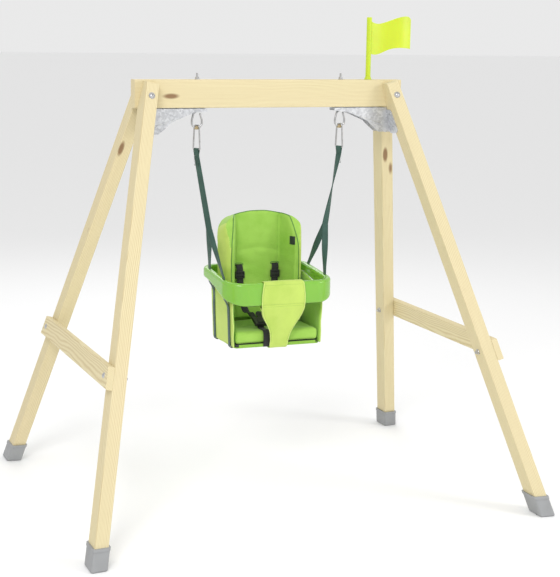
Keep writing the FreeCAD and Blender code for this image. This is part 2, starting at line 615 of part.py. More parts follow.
def make_hanging_strap(sx):
    """One length of webbing: round the snap hook, doubled to the fork, then into the ring."""
    top_turn, fork_turn, front_turn, rear_turn = STRAP_TURNS[sx]
    hang = V(sx * HOOK_X, 0, LOOP_CLOSE_Z)
    span = LOOP_CLOSE_Z - ring_top_z(0)
    fork_x = HOOK_X + (RING_MID_X - HOOK_X) * (LOOP_CLOSE_Z - FORK_Z) / span
    fork = V(sx * fork_x, 0, FORK_Z)
    steps = 12
    pieces = []
    for layer, end_turn, y in ((1, front_turn, STRAP_FRONT_Y), (-1, rear_turn, STRAP_REAR_Y)):
        towards = math.copysign(1, y * math.cos(math.radians(fork_turn)))
        side = LAYER * (1 if towards > 0 else -1)
        stations = []
        for k in range(steps + 1):
            share = k / steps
            stations.append((hang + (fork - hang) * share, blend_value(top_turn, fork_turn, share), side))
        slot = V(sx * RING_MID_X, y, ring_top_z(y) + 1.0)
        for k in range(1, steps + 1):
            share = k / steps
            eased = share * share * (3 - 2 * share)
            stations.append((fork + (slot - fork) * share,
                             blend_value(fork_turn, end_turn, eased), side * (1 - share)))
        pieces.append(ribbon(stations))
    inner, outer = SNAP_ROD / 2 + SLACK, SNAP_ROD / 2 + SLACK + WEB_THICK
    bar = SNAP_BOTTOM_Z
    half = WEB_WIDTH / 2
    near, far = LAYER - WEB_THICK / 2, LAYER + WEB_THICK / 2
    edges = [Part.Arc(V(-half, -outer, bar), V(-half, 0, bar + outer), V(-half, outer, bar)).toShape(),
             Part.makeLine(V(-half, outer, bar), V(-half, far, LOOP_CLOSE_Z)),
             Part.makeLine(V(-half, far, LOOP_CLOSE_Z), V(-half, near, LOOP_CLOSE_Z)),
             Part.makeLine(V(-half, near, LOOP_CLOSE_Z), V(-half, inner, bar)),
             Part.Arc(V(-half, inner, bar), V(-half, 0, bar + inner), V(-half, -inner, bar)).toShape(),
             Part.makeLine(V(-half, -inner, bar), V(-half, -near, LOOP_CLOSE_Z)),
             Part.makeLine(V(-half, -near, LOOP_CLOSE_Z), V(-half, -far, LOOP_CLOSE_Z)),
             Part.makeLine(V(-half, -far, LOOP_CLOSE_Z), V(-half, -outer, bar))]
    loop = Part.Face(Part.Wire(edges)).extrude(V(2 * half, 0, 0))
    loop = snap_place(loop, sx)
    return pieces, loop


def make_side_strap(sx, y):
    """Webbing below the slot top: through the ring, down the side and under the seat."""
    low = SEAT_FLOOR_Z - SLACK
    side = SEAT_HALF_WIDTH + SLACK
    foot = side - SEAT_TAPER + SLACK
    inside = [(RING_MID_X - WEB_THICK / 2, ring_top_z(y) + 1.0),
              (RING_MID_X - WEB_THICK / 2, ring_low_z(y) - 4), (side, ring_low_z(y) - 34),
              (foot, low), (foot - UNDER_SEAT, low)]
    outside = [(RING_MID_X + WEB_THICK / 2, ring_top_z(y) + 1.0),
               (RING_MID_X + WEB_THICK / 2, ring_low_z(y) - 4),
               (side + WEB_THICK, ring_low_z(y) - 34), (foot + WEB_THICK, low + 0.5),
               (foot + 0.5, low - WEB_THICK), (foot - UNDER_SEAT, low - WEB_THICK)]
    ring = [V(sx * x, y - WEB_WIDTH / 2, z) for x, z in outside + inside[::-1]]
    return Part.Face(Part.makePolygon(ring + ring[:1])).extrude(V(0, WEB_WIDTH, 0))


# ---------------------------------------------------------------- guard ring
def ring_low_z(y):
    """Lower edge of the ring, on the arc through its three stated heights."""
    a, b, c = V(0, RING_FRONT, RING_LOW_FRONT), V(0, 0, RING_LOW_MIDDLE), V(0, RING_REAR, RING_LOW_REAR)
    circle = Part.Arc(a, b, c).toShape().Curve
    centre, radius = circle.Center, circle.Radius
    return centre.z + math.copysign(math.sqrt(radius ** 2 - (y - centre.y) ** 2), b.z - centre.z)


def ring_plan(inset):
    """Rounded outline of the ring in plan, inset from its outer face."""
    a = RING_HALF_WIDTH - inset
    front, rear = RING_FRONT + inset, RING_REAR - inset
    rf, rr = RING_FRONT_RADIUS - inset, RING_REAR_RADIUS - inset
    q = math.sqrt(0.5)
    arcs = [((a - rf, front), (a - rf + rf * q, front + rf - rf * q), (a, front + rf)),
            ((a, rear - rr), (a - rr + rr * q, rear - rr + rr * q), (a - rr, rear)),
            ((-a + rr, rear), (-a + rr - rr * q, rear - rr + rr * q), (-a, rear - rr)),
            ((-a, front + rf), (-a + rf - rf * q, front + rf - rf * q), (-a + rf, front))]
    edges = []
    for k, arc in enumerate(arcs):
        start, middle, end = [V(x, y, 0) for x, y in arc]
        following = V(arcs[(k + 1) % 4][0][0], arcs[(k + 1) % 4][0][1], 0)
        edges += [Part.Arc(start, middle, end).toShape(), Part.makeLine(end, following)]
    return Part.Face(Part.Wire(edges))


def ring_band(inset):
    """The ring's wall, shrunk on every face by inset."""
    outer = ring_plan(inset).extrude(V(0, 0, 400))
    inner = ring_plan(RING_WALL - inset).extrude(V(0, 0, 400))
    wall = outer.cut(inner)
    wall.translate(V(0, 0, 500))
    top = [V(0, y, ring_top_z(y) - inset) for y in (RING_FRONT, RING_REAR)]
    low = [V(0, y, z + inset) for y, z in ((RING_FRONT, RING_LOW_FRONT), (0, RING_LOW_MIDDLE),
                                           (RING_REAR, RING_LOW_REAR))]
    edges = [Part.Arc(*low).toShape(), Part.makeLine(low[-1], top[1]), Part.makeLine(top[1], top[0]),
             Part.makeLine(top[0], low[0])]
    profile = Part.Face(Part.Wire(edges))
    profile.translate(V(-500, 0, 0))
    return wall.common(profile.extrude(V(1000, 0, 0)))


def make_guard_ring():
    ring = ring_band(0.0)
    ring = ring.makeFillet(RING_EDGE, ring_rim_edges(ring))
    hollow = ring_band(RING_SKIN)
    slots, posts = [], []
    for _, sx in SIDES:
        for y in (STRAP_FRONT_Y, STRAP_REAR_Y):
            for grow, keep in ((0.5, slots), (0.5 + RING_SKIN, posts)):
                wide, long = WEB_THICK + 2 * grow, WEB_WIDTH + 2 * grow
                keep.append(Part.makeBox(wide, long, 400, V(sx * RING_MID_X - wide / 2, y - long / 2, 500)))
    return ring.cut(hollow.cut(compound(posts))).cut(compound(slots))


def ring_rim_edges(ring):
    """Edges of the top and bottom faces, where the walls turn over."""
    rims = []
    for edge in ring.Edges:
        middle = edge.valueAt((edge.FirstParameter + edge.LastParameter) / 2)
        if abs(edge.BoundBox.ZLength) > 30 and edge.BoundBox.XLength < 0.01 and edge.BoundBox.YLength < 0.01:
            continue
        if middle.z > 0:
            rims.append(edge)
    return rims


# ---------------------------------------------------------------- seat
def side_x(z):
    """Outer face of the side panels at a level."""
    share = (z - SEAT_FLOOR_Z) / (ring_low_z(0) - SEAT_FLOOR_Z)
    return SEAT_HALF_WIDTH - SEAT_TAPER * (1 - min(max(share, 0.0), 1.0))


def make_base_cover():
    half = SEAT_HALF_WIDTH - SEAT_TAPER - PANEL_THICK - SLACK
    cover = Part.makeBox(2 * half, SEAT_REAR - SEAT_FRONT, COVER_THICK, V(-half, SEAT_FRONT, SEAT_FLOOR_Z))
    cover = cover.makeFillet(14, [e for e in cover.Edges if e.BoundBox.ZLength > COVER_THICK * 0.9])
    lip_height = COVER_THICK + BOARD_THICK + SLACK
    lip = Part.makeBox(2 * (half - 14), COVER_THICK, lip_height, V(14 - half, SEAT_FRONT, SEAT_FLOOR_Z))
    return cover.fuse(lip).removeSplitter()


def make_seat_board():
    half = SEAT_HALF_WIDTH - SEAT_TAPER - PANEL_THICK - 4
    board = Part.makeBox(2 * half, SEAT_REAR - SEAT_FRONT - 12, BOARD_THICK,
                         V(-half, SEAT_FRONT + 6, SEAT_FLOOR_Z + COVER_THICK + SLACK))
    return board.makeFillet(16, [e for e in board.Edges if abs(e.BoundBox.ZLength - BOARD_THICK) < 0.01])


def make_cushion():
    half = SEAT_HALF_WIDTH - SEAT_TAPER - PANEL_THICK - 1.5
    pad = Part.makeBox(2 * half, SEAT_REAR - SEAT_FRONT, CUSHION_HEIGHT, V(-half, SEAT_FRONT, CUSHION_LOW))
    return pad.makeFillet(CUSHION_ROUND, pad.Edges)


def make_side_panel(sx):
    """Padded side, hung inside the ring and sewn to the base at the bottom."""
    top_front = ring_low_z(SEAT_FRONT) + 22
    top_rear = ring_low_z(SEAT_REAR) + 18
    outline = [(SEAT_FRONT, SEAT_FLOOR_Z), (SEAT_REAR - 16, SEAT_FLOOR_Z),
               (SEAT_REAR - 8, top_rear), (SEAT_FRONT, top_front)]
    slab = prism([(-500, y, z) for y, z in outline], (1000, 0, 0))
    profile = []
    for z in (SEAT_FLOOR_Z - 5, ring_low_z(SEAT_FRONT), top_rear + 20):
        profile.append((side_x(z), z))
    inner = [(x - PANEL_THICK, z) for x, z in profile[::-1]]
    wall = prism([(x, -400, z) for x, z in profile + inner], (0, 800, 0))
    inside_ring = ring_plan(RING_WALL + SLACK).extrude(V(0, 0, BACK_TOP_Z))
    panel = wall.common(slab).common(inside_ring)
    return panel if sx > 0 else mirrored(panel)


def make_back_pad():
    """Thick back with forward wings; the wings taper to a piped front edge."""
    w, tip_x, tip_y = BACK_HALF_WIDTH, WING_TIP_X, WING_TIP_Y
    rear = SEAT_REAR
    side_y = rear - 30
    plan = [(-BACK_FACE_HALF, BACK_FACE_Y), (-tip_x + WING_LIP, tip_y), (-tip_x - WING_LIP, tip_y), (-w, side_y),
            (-w + 10, rear - 10), (-w + 24, rear), (w - 24, rear), (w - 10, rear - 10),
            (w, side_y), (tip_x + WING_LIP, tip_y), (tip_x - WING_LIP, tip_y), (BACK_FACE_HALF, BACK_FACE_Y)]
    low = CUSHION_TOP + SLACK
    body = prism([(x, y, low) for x, y in plan], (0, 0, BACK_TOP_Z - low))
    shoulder, crown = BACK_TOP_Z - 98, BACK_TOP_Z - 18
    front = [V(-w, 0, low), V(-w, 0, shoulder), V(-w + 14, 0, crown - 32), V(-w + 54, 0, crown),
             V(0, 0, BACK_TOP_Z), V(w - 54, 0, crown), V(w - 14, 0, crown - 32), V(w, 0, shoulder),
             V(w, 0, low)]
    edges = [Part.makeLine(front[0], front[1]), Part.Arc(front[1], front[2], front[3]).toShape(),
             Part.Arc(front[3], front[4], front[5]).toShape(),
             Part.Arc(front[5], front[6], front[7]).toShape(),
             Part.makeLine(front[7], front[8]), Part.makeLine(front[8], front[0])]
    face = Part.Face(Part.Wire(edges))
    face.translate(V(0, -200, 0))
    body = body.common(face.extrude(V(0, 500, 0)))
    corners = [V(-300, tip_y - 1, low), V(-300, rear + 30, low), V(-300, rear + 30, BACK_TOP_Z + 20),
               V(-300, tip_y + 84, BACK_TOP_Z + 20), V(-300, tip_y - 1, BACK_TOP_Z - 150)]
    bend = Part.Arc(corners[3], V(-300, tip_y + 22, BACK_TOP_Z - 62), corners[4]).toShape()
    side = [Part.makeLine(corners[k], corners[k + 1]) for k in range(3)] + [bend]
    side = Part.Face(Part.Wire(side + [Part.makeLine(corners[4], corners[0])])).extrude(V(600, 0, 0))
    body = body.common(side)
    cuts = []
    for _, sx in SIDES:
        wide = BELT_WIDTH + 3
        cuts.append(Part.makeBox(wide, 60, 5, V(sx * BELT_SLOT_X - wide / 2, BACK_FACE_Y - 20,
                                                BELT_SLOT_Z - 2.5)))
    return body.cut(compound(cuts))


def make_back_panel():
    """Load-carrying outer back, from the base to above the ring."""
    low, high = SEAT_FLOOR_Z, BACK_TOP_Z - 44
    half = BACK_HALF_WIDTH - 24
    outline = [(-half, low), (half, low), (half, high - 40), (half - 36, high), (36 - half, high),
               (-half, high - 40)]
    return prism([(x, SEAT_REAR + SLACK, z) for x, z in outline], (0, COVER_THICK, 0))


CROTCH_HALF_TOP, CROTCH_HALF_WIDE, CROTCH_HALF_LOW = 74.0, 81.0, 34.0


def make_crotch_panel():
    """Panel from under the seat up to a sleeve that wraps right round the front of the ring."""
    gap = SLACK
    front, back = RING_FRONT - gap, RING_FRONT + RING_WALL + gap
    top, low = RING_TOP_FRONT + 2.5 + gap, RING_LOW_FRONT - gap
    t = CROTCH_THICK
    under = SEAT_FLOOR_Z - SLACK - t - WEB_THICK
    outer_loop = [(front - t, low - 3), (front - t, top - 4), (front + 3, top + t),
                  (back - 3, top + t), (back + t, top - 4), (back + t, low - 3),
                  ((front + back) / 2 + 2, low - 14)]
    inner_loop = [(front, low + 1), (front, top - 5), (front + 5, top), (back - 5, top), (back, top - 5),
                  (back, low + 1), ((front + back) / 2 + 6, low - 4), ((front + back) / 2 - 6, low - 4)]
    sleeve = prism([(-100, y, z) for y, z in outer_loop], (200, 0, 0))
    sleeve = sleeve.cut(prism([(-101, y, z) for y, z in inner_loop], (202, 0, 0)))
    edge = SEAT_FRONT - 5
    tail = [(front - t, low - 3), (edge - t, under + 8), (edge + 2, under), (edge + 60, under),
            (edge + 60, under + t), (edge + 4, under + t), (edge, under + 10),
            ((front + back) / 2 + 2, low - 14), (front + t, low - 3)]
    panel = sleeve.fuse(prism([(-100, y, z) for y, z in tail], (200, 0, 0)))
    levels = [(CROTCH_HALF_TOP, top + 8), (CROTCH_HALF_WIDE - 1, RING_TOP_FRONT - 30),
              (CROTCH_HALF_WIDE, RING_LOW_FRONT + 12), (CROTCH_HALF_WIDE - 8, RING_LOW_FRONT - 32),
              (57.0, RING_LOW_FRONT - 60), (41.0, RING_LOW_FRONT - 92),
              (CROTCH_HALF_LOW + 1, RING_LOW_FRONT - 124), (CROTCH_HALF_LOW, under - 10)]
    sides = []
    for sx in (1, -1):
        curve = Part.BSplineCurve()
        curve.interpolate([V(sx * x, -400, z) for x, z in levels])
        sides.append(curve.toShape())
    ends = [Part.makeLine(V(x, -400, z), V(-x, -400, z)) for x, z in (levels[0], levels[-1])]
    outline = Part.Face(Part.Wire([sides[0], ends[1], sides[1], ends[0]]))
    return panel.common(outline.extrude(V(0, 800, 0)))


# ---------------------------------------------------------------- harness
def belt(points):
    """Harness webbing: an open line of (x, y, z), its width along X, as one bent strip."""
    wires = []
    for k, point in enumerate(points):
        here = V(*point)
        before = V(*points[max(k - 1, 0)])
        after = V(*points[min(k + 1, len(points) - 1)])
        run = (after - before).normalize()
        wide = V(1, 0, 0) - run * run.x
        wide = wide.normalize() * (BELT_WIDTH / 2)
        thin = run.cross(wide).normalize() * (BELT_THICK / 2)
        ring = [here - wide - thin, here + wide - thin, here + wide + thin, here - wide + thin]
        wires.append(Part.makePolygon(ring + ring[:1]))
    return Part.makeLoft(wires, True, True)


LEAN = math.radians(BUCKLE_LEAN)
BUCKLE_UP = V(0, math.sin(LEAN), math.cos(LEAN))         # along the shoulder straps
BUCKLE_OUT = V(0, -math.cos(LEAN), math.sin(LEAN))       # out of the buckle's face
BUCKLE_MID = V(BUCKLE_X, BUCKLE_Y, BUCKLE_Z)
TONGUE_SPACING = 11.5


def buckle_box(wide, high, deep, up=0.0, out=0.0, x=0.0):
    """Block in the buckle's own axes, centred on its middle."""
    base = BUCKLE_MID + V(x, 0, 0) + BUCKLE_UP * up + BUCKLE_OUT * out
    first = base - V(wide / 2, 0, 0) - BUCKLE_UP * (high / 2) - BUCKLE_OUT * (deep / 2)
    ring = [first, first + V(wide, 0, 0), first + V(wide, 0, 0) + BUCKLE_UP * high, first + BUCKLE_UP * high]
    return Part.Face(Part.makePolygon(ring + ring[:1])).extrude(BUCKLE_OUT * deep)


BUTTON_WIDE, BUTTON_HIGH, BUTTON_DEEP = 18.0, 16.0, 6.0
BUTTON_TRAVEL = 2.5
BAR_SLOT = 5.5                                           # slot centre above the buckle's lower end


def make_buckle_body():
    body = buckle_box(BUCKLE_WIDTH, BUCKLE_HEIGHT, BUCKLE_DEEP)
    body = body.makeFillet(3.0, body.Edges)
    window = buckle_box(BUTTON_WIDE + 0.6, BUTTON_HIGH + 0.6, 20, -3, 10 + BUCKLE_DEEP / 2 - BUTTON_DEEP - 0.5)
    mouth = buckle_box(BUCKLE_WIDTH - 6, 12, 4.6, BUCKLE_HEIGHT / 2 - 5, -1.5)
    bar_slot = buckle_box(BELT_WIDTH + 2, 3.6, 30, -BUCKLE_HEIGHT / 2 + BAR_SLOT)
    return body.cut(compound([window, mouth, bar_slot]))


def make_buckle_button():
    proud = 1.2
    button = buckle_box(BUTTON_WIDE, BUTTON_HIGH, BUTTON_DEEP - BUTTON_TRAVEL, -3,
                        BUCKLE_DEEP / 2 + proud - (BUTTON_DEEP - BUTTON_TRAVEL) / 2)
    return button.makeFillet(1.0, button.Edges)


def make_tongue(sx):
    """Flat tongue that plugs into the buckle's mouth and carries a shoulder strap's end."""
    blade = buckle_box(15, 12, 3, BUCKLE_HEIGHT / 2 - 3, -1.5, sx * TONGUE_SPACING)
    shoulder = buckle_box(19, 15, 5, BUCKLE_HEIGHT / 2 + 8.5, -1.5, sx * (TONGUE_SPACING + 0.5))
    shoulder = shoulder.makeFillet(1.2, shoulder.Edges)
    return blade.fuse(shoulder)


def belt_points(sx):
    """Centre line of a shoulder strap, from the back slot to its tongue."""
    lift = BUCKLE_HEIGHT / 2 + 17
    end = BUCKLE_MID + V(sx * (TONGUE_SPACING + 2), 0, 0) + BUCKLE_UP * lift - BUCKLE_OUT * 1.5
    x0, face = sx * BELT_SLOT_X, BACK_FACE_Y
    return [(x0, face + 14, BELT_SLOT_Z), (x0, face + 2, BELT_SLOT_Z), (x0, face - 5, BELT_SLOT_Z - 5),
            (x0 * 0.99, face - 8, BELT_SLOT_Z - 13), (x0 * 0.98, face - 8.5, ADJUSTER_Z + 12),
            (x0 * 0.96, face - 9, ADJUSTER_Z - 22), (blend_value(x0, end.x, 0.12), face - 14, 702),
            (blend_value(x0, end.x, 0.30), face - 34, 664), (blend_value(x0, end.x, 0.60), face - 72, 632),
            (blend_value(x0, end.x, 0.88), end.y + 22, end.z + 8.5),
            (end.x, end.y + 8.2, end.z + 3.8), (end.x, end.y + 0.9, end.z + 0.4)]


def make_adjuster(sx):
    """Ladder-lock on a shoulder strap: a frame with two slots that the webbing runs through."""
    y = BACK_FACE_Y - 8.8
    x, z = sx * BELT_SLOT_X * 0.975, ADJUSTER_Z
    frame = Part.makeBox(BELT_WIDTH + 9, 8.2, 26, V(x - BELT_WIDTH / 2 - 4.5, y - 4.1, z - 13))
    frame = frame.makeFillet(1.6, frame.Edges)
    tunnel = Part.makeBox(BELT_WIDTH + 2.8, BELT_THICK + 2.0, 60,
                          V(x - BELT_WIDTH / 2 - 1.4, y - BELT_THICK / 2 - 1.0, z - 30))
    grips = [Part.makeBox(BELT_WIDTH + 2.4, 30, 4.5, V(x - BELT_WIDTH / 2 - 1.2, y - 30 - 0.8, z + dz))
             for dz in (-8.5, 4.0)]
    return frame.cut(compound([tunnel] + grips))


def make_crotch_strap():
    """From the buckle's bar slot, forward over the cushion and down its front."""
    slot = BUCKLE_MID - BUCKLE_UP * (BUCKLE_HEIGHT / 2 - BAR_SLOT)
    half = BUCKLE_DEEP / 2
    x, lift, bend = BUCKLE_X, BELT_THICK / 2 + 0.6, CUSHION_ROUND + 2.2
    points = [slot + BUCKLE_OUT * (half + 1.5), slot, slot - BUCKLE_OUT * (half + 2)]
    behind = points[-1]
    points += [V(x, behind.y - 1.5, CUSHION_TOP + lift + 1.4), V(x, behind.y - 6, CUSHION_TOP + lift),
               V(x, SEAT_FRONT + 26, CUSHION_TOP + lift)]
    for angle in (90, 67, 45, 22, 0):
        turn = math.radians(angle)
        points.append(V(x, SEAT_FRONT + CUSHION_ROUND - bend * math.cos(turn),
                        CUSHION_TOP - CUSHION_ROUND + bend * math.sin(turn)))
    points.append(V(x, SEAT_FRONT - 2.2, SEAT_FLOOR_Z + 1))
    return band([(p.y, p.z) for p in points], BELT_THICK, x - BELT_WIDTH / 2, x + BELT_WIDTH / 2, 0)


def make_label():
    """Small blank tag sewn on the inner face of the right wing."""
    inner, tip = V(BACK_FACE_HALF, BACK_FACE_Y, 0), V(WING_TIP_X - WING_LIP, WING_TIP_Y, 0)
    along = (tip - inner).normalize()
    out = V(along.y, -along.x, 0)
    wide, high = 25.0, 30.0
    low = inner + (tip - inner) * 0.58 + out * SLACK + V(0, 0, 868)
    ring = [low, low + along * wide, low + along * wide + V(0, 0, high), low + V(0, 0, high)]
    return Part.Face(Part.makePolygon(ring + ring[:1])).extrude(out * 0.8)


# ---------------------------------------------------------------- flag
def make_flag_peg():
    """Peg that screws into the beam; the pole turns on its plain shank."""
    top = BEAM_TOP + PEG_HEIGHT
    peg = rod_between((FLAG_X, 0, BEAM_TOP + 0.05), (FLAG_X, 0, top), PEG_D / 2)
    peg = peg.makeFillet(1.2, [e for e in peg.Edges if e.BoundBox.ZMin > top - 0.01])
    thread = rod_between((FLAG_X, 0, BEAM_TOP - 36), (FLAG_X, 0, BEAM_TOP + 1), PEG_D * 0.3)
    return peg.fuse(thread)


def make_flag_pole():
    radius = FLAG_POLE / 2
    base = BEAM_TOP + SLACK
    pole = rod_between((FLAG_X, 0, base), (FLAG_X, 0, FLAG_POLE_TOP), radius)
    pole = pole.makeFillet(2.0, [e for e in pole.Edges if e.BoundBox.ZMin > FLAG_POLE_TOP - 0.01])
    flare = Part.makeCone(radius + 4.5, radius - 0.2, 11, V(FLAG_X, 0, base))
    bore = rod_between((FLAG_X, 0, base - 1), (FLAG_X, 0, BEAM_TOP + PEG_HEIGHT + 2), PEG_D / 2 + RUNNING)
    hollow = rod_between((FLAG_X, 0, BEAM_TOP + PEG_HEIGHT + 6), (FLAG_X, 0, FLAG_POLE_TOP - 5), radius - 3.5)
    return pole.fuse(flare).cut(bore).cut(hollow)


def make_flag_panel():
    """Moulded flag: waved in plan as well as along its top and bottom edges."""
    start, end = FLAG_X + 4, FLAG_X + FLAG_REACH
    wave = []
    steps = 16
    for k in range(steps + 1):
        share = k / steps
        wave.append(V(start + (end - start) * share, 7.0 * math.sin(2 * math.pi * share) * share ** 0.5, 0))
    curve = Part.BSplineCurve()
    curve.interpolate(wave)
    front = [p + V(0, -FLAG_SHEET / 2, 0) for p in wave]
    rear = [p + V(0, FLAG_SHEET / 2, 0) for p in wave]
    lines = []
    for points in (front, rear):
        spline = Part.BSplineCurve()
        spline.interpolate(points)
        lines.append(spline.toShape())
    ends = [Part.makeLine(front[0], rear[0]), Part.makeLine(front[-1], rear[-1])]
    plan = Part.Face(Part.Wire([lines[0], ends[1], lines[1], ends[0]]))
    plan.translate(V(0, 0, 1500))
    sheet = plan.extrude(V(0, 0, 250))
    top = [(start, 1660), (start + 28, 1649), (start + 78, 1661), (start + 126, 1675),
           (end - 10, 1674), (end, 1664)]
    low = [(end, 1562), (end - 28, 1565), (start + 78, 1560), (start + 24, 1541), (start, 1545)]
    rims = []
    for line in (top, low):
        spline = Part.BSplineCurve()
        spline.interpolate([V(x, -50, z) for x, z in line])
        rims.append(spline.toShape())
    sides = [Part.makeLine(V(end, -50, 1664), V(end, -50, 1562)),
             Part.makeLine(V(start, -50, 1545), V(start, -50, 1660))]
    outline = Part.Face(Part.Wire([rims[0], sides[0], rims[1], sides[1]]))
    panel = sheet.common(outline.extrude(V(0, 100, 0)))
    return panel.cut(rod_between((FLAG_X, 0, 1450), (FLAG_X, 0, 1700), FLAG_POLE / 2))


# ---------------------------------------------------------------- build
def build_frame():
    add("beam", make_beam())
    for end_name, sy in ENDS:
        for side_name, sx in SIDES:
            add("leg_%s_%s" % (end_name, side_name), make_leg(sx, sy))
            add("foot_cap_%s_%s" % (end_name, side_name), make_foot_cap(sx, sy))
    for side_name, sx in SIDES:
        add("brace_%s" % side_name, make_brace(sx))
    screws, washers = make_leg_fasteners()
    add("leg_screws", screws)
    add("leg_washers", washers)
    bolts, washers, nuts = make_brace_fasteners()
    add("brace_bolts", bolts)
    add("brace_washers", washers)
    add("brace_nuts", nuts)
    bracket = make_bracket()
    add("bracket_right", bracket)
    add("bracket_left", mirrored(bracket))
    add("bracket_screws", compound(make_bracket_screws(-1).Solids + make_bracket_screws(1).Solids))


def build_hanging_gear():
    washers, nuts = make_hook_fasteners()
    add("hook_washers", washers)
    add("hook_nuts", nuts)
    for side_name, sx in SIDES:
        add("hook_%s" % side_name, make_hook(sx))
        add("hook_bush_%s" % side_name, make_bush(sx))
        add("snap_hook_%s" % side_name, make_snap_body(sx))
        add("snap_gate_%s" % side_name, make_gate(sx))
        add("gate_pin_%s" % side_name, make_gate_pin(sx))
        (front, rear), loop = make_hanging_strap(sx)
        add("strap_loop_%s" % side_name, loop)
        add("strap_front_%s" % side_name, front.fuse(make_side_strap(sx, STRAP_FRONT_Y)))
        add("strap_rear_%s" % side_name, rear.fuse(make_side_strap(sx, STRAP_REAR_Y)))


def build_seat():
    add("guard_ring", make_guard_ring())
    add("base_cover", make_base_cover())
    add("seat_board", make_seat_board())
    add("seat_cushion", make_cushion())
    for side_name, sx in SIDES:
        add("side_panel_%s" % side_name, make_side_panel(sx))
        add("shoulder_strap_%s" % side_name, belt(belt_points(sx)))
        add("adjuster_%s" % side_name, make_adjuster(sx))
        add("buckle_tongue_%s" % side_name, make_tongue(sx))
    add("back_pad", make_back_pad())
    add("back_panel", make_back_panel())
    add("crotch_panel", make_crotch_panel())
    add("buckle_body", make_buckle_body())
    add("buckle_button", make_buckle_button())
    add("crotch_strap", make_crotch_strap())
    add("blank_label", make_label())


def build_flag():
    add("flag_peg", make_flag_peg())
    add("flag_pole", make_flag_pole())
    add("flag_panel", make_flag_panel())


build_frame()
build_hanging_gear()
build_seat()
build_flag()
print(len(ALL), "nodes")
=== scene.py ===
# %% [markdown]
# # A toddler's swing seat hung in its wooden frame
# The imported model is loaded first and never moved. Its metal, timber and moulded pieces are kept and
# painted, and its plain cloth and webbing pieces are stood in for by sewn ones. Lengths are in metres,
# +X runs along the beam, +Z is up and the child faces -Y.

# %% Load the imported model
import math

import bmesh
import bpy
import numpy as np
from mathutils import Matrix, Vector
from mathutils.bvhtree import BVHTree


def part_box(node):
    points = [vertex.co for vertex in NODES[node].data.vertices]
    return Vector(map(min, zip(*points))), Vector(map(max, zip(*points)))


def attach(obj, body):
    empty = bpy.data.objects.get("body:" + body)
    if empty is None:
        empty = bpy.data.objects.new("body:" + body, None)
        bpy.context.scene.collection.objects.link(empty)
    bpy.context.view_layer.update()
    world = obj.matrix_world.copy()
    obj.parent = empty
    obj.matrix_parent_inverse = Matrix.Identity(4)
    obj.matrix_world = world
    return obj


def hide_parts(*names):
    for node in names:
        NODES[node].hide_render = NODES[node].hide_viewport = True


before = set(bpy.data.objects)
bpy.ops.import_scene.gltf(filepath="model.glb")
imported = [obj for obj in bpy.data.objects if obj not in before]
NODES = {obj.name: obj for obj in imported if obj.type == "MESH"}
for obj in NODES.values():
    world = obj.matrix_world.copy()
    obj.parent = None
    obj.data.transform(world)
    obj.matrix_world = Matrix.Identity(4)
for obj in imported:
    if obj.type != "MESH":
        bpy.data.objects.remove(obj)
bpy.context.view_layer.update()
SIDES = (("left", -1), ("right", 1))

# %% [markdown]
# The camera stands in front of the left side, a little above the beam, with a long lens, so upright
# things stay nearly upright. Its place is given by a point and three turns, and its axes are worked
# out from them.

# %% Camera
CAMERA_AT = Vector((-1.9111, -4.8319, 1.664))
CAMERA_YAW, CAMERA_PITCH, CAMERA_ROLL = 0.3842, -0.1795, 0.0171
CAMERA_LENS, CAMERA_SHIFT = 93.11, 0.0035


def camera_axes(yaw, pitch, roll):
    """Right, up and backward directions of a camera with these turns."""
    ahead = Vector((math.sin(yaw) * math.cos(pitch), math.cos(yaw) * math.cos(pitch), math.sin(pitch)))
    level = Vector((math.cos(yaw), -math.sin(yaw), 0))
    rise = level.cross(ahead)
    right = level * math.cos(roll) + rise * math.sin(roll)
    up = rise * math.cos(roll) - level * math.sin(roll)
    return right, up, -ahead


camera = bpy.data.objects.new("camera", bpy.data.cameras.new("camera"))
bpy.context.scene.collection.objects.link(camera)
camera.data.lens = CAMERA_LENS
camera.data.shift_x = CAMERA_SHIFT
camera.data.clip_end = 200
turned = Matrix(camera_axes(CAMERA_YAW, CAMERA_PITCH, CAMERA_ROLL)).transposed()
camera.matrix_world = Matrix.Translation(CAMERA_AT) @ turned.to_4x4()
bpy.context.scene.camera = camera
print("camera", [round(x, 3) for x in CAMERA_AT], "lens", CAMERA_LENS)

# %% [markdown]
# A product shot uses large soft lamps: one high on the left, a weaker one on the right that lifts the
# shadows, and one behind that draws a bright rim on the moulded ring. The floor is a wide pale sheet,
# a hair below the feet.

# %% Lamps, sky and floor


def soft_lamp(name, place, aim, size, power):
    """Square area lamp at a place, turned towards a point."""
    lamp = bpy.data.lights.new(name, "AREA")
    lamp.shape, lamp.size, lamp.energy = "SQUARE", size, power
    holder = bpy.data.objects.new(name, lamp)
    bpy.context.scene.collection.objects.link(holder)
    look = (Vector(aim) - Vector(place)).to_track_quat("-Z", "Y")
    holder.matrix_world = Matrix.Translation(place) @ look.to_matrix().to_4x4()
    return holder


MIDDLE = (0, 0, 0.8)
soft_lamp("lamp_key", (-2.4, -3.6, 3.8), MIDDLE, 1.5, 92)
soft_lamp("lamp_fill", (3.4, -3.0, 2.4), MIDDLE, 1.4, 52)
soft_lamp("lamp_rim", (0.6, 3.6, 3.6), MIDDLE, 2.4, 36)

world = bpy.data.worlds.new("studio")
bpy.context.scene.world = world
world.use_nodes = True
sky = world.node_tree.nodes["Background"]
sky.inputs["Color"].default_value = (1.0, 1.0, 1.0, 1)
sky.inputs["Strength"].default_value = 0.82
bpy.context.scene.view_settings.view_transform = "Standard"

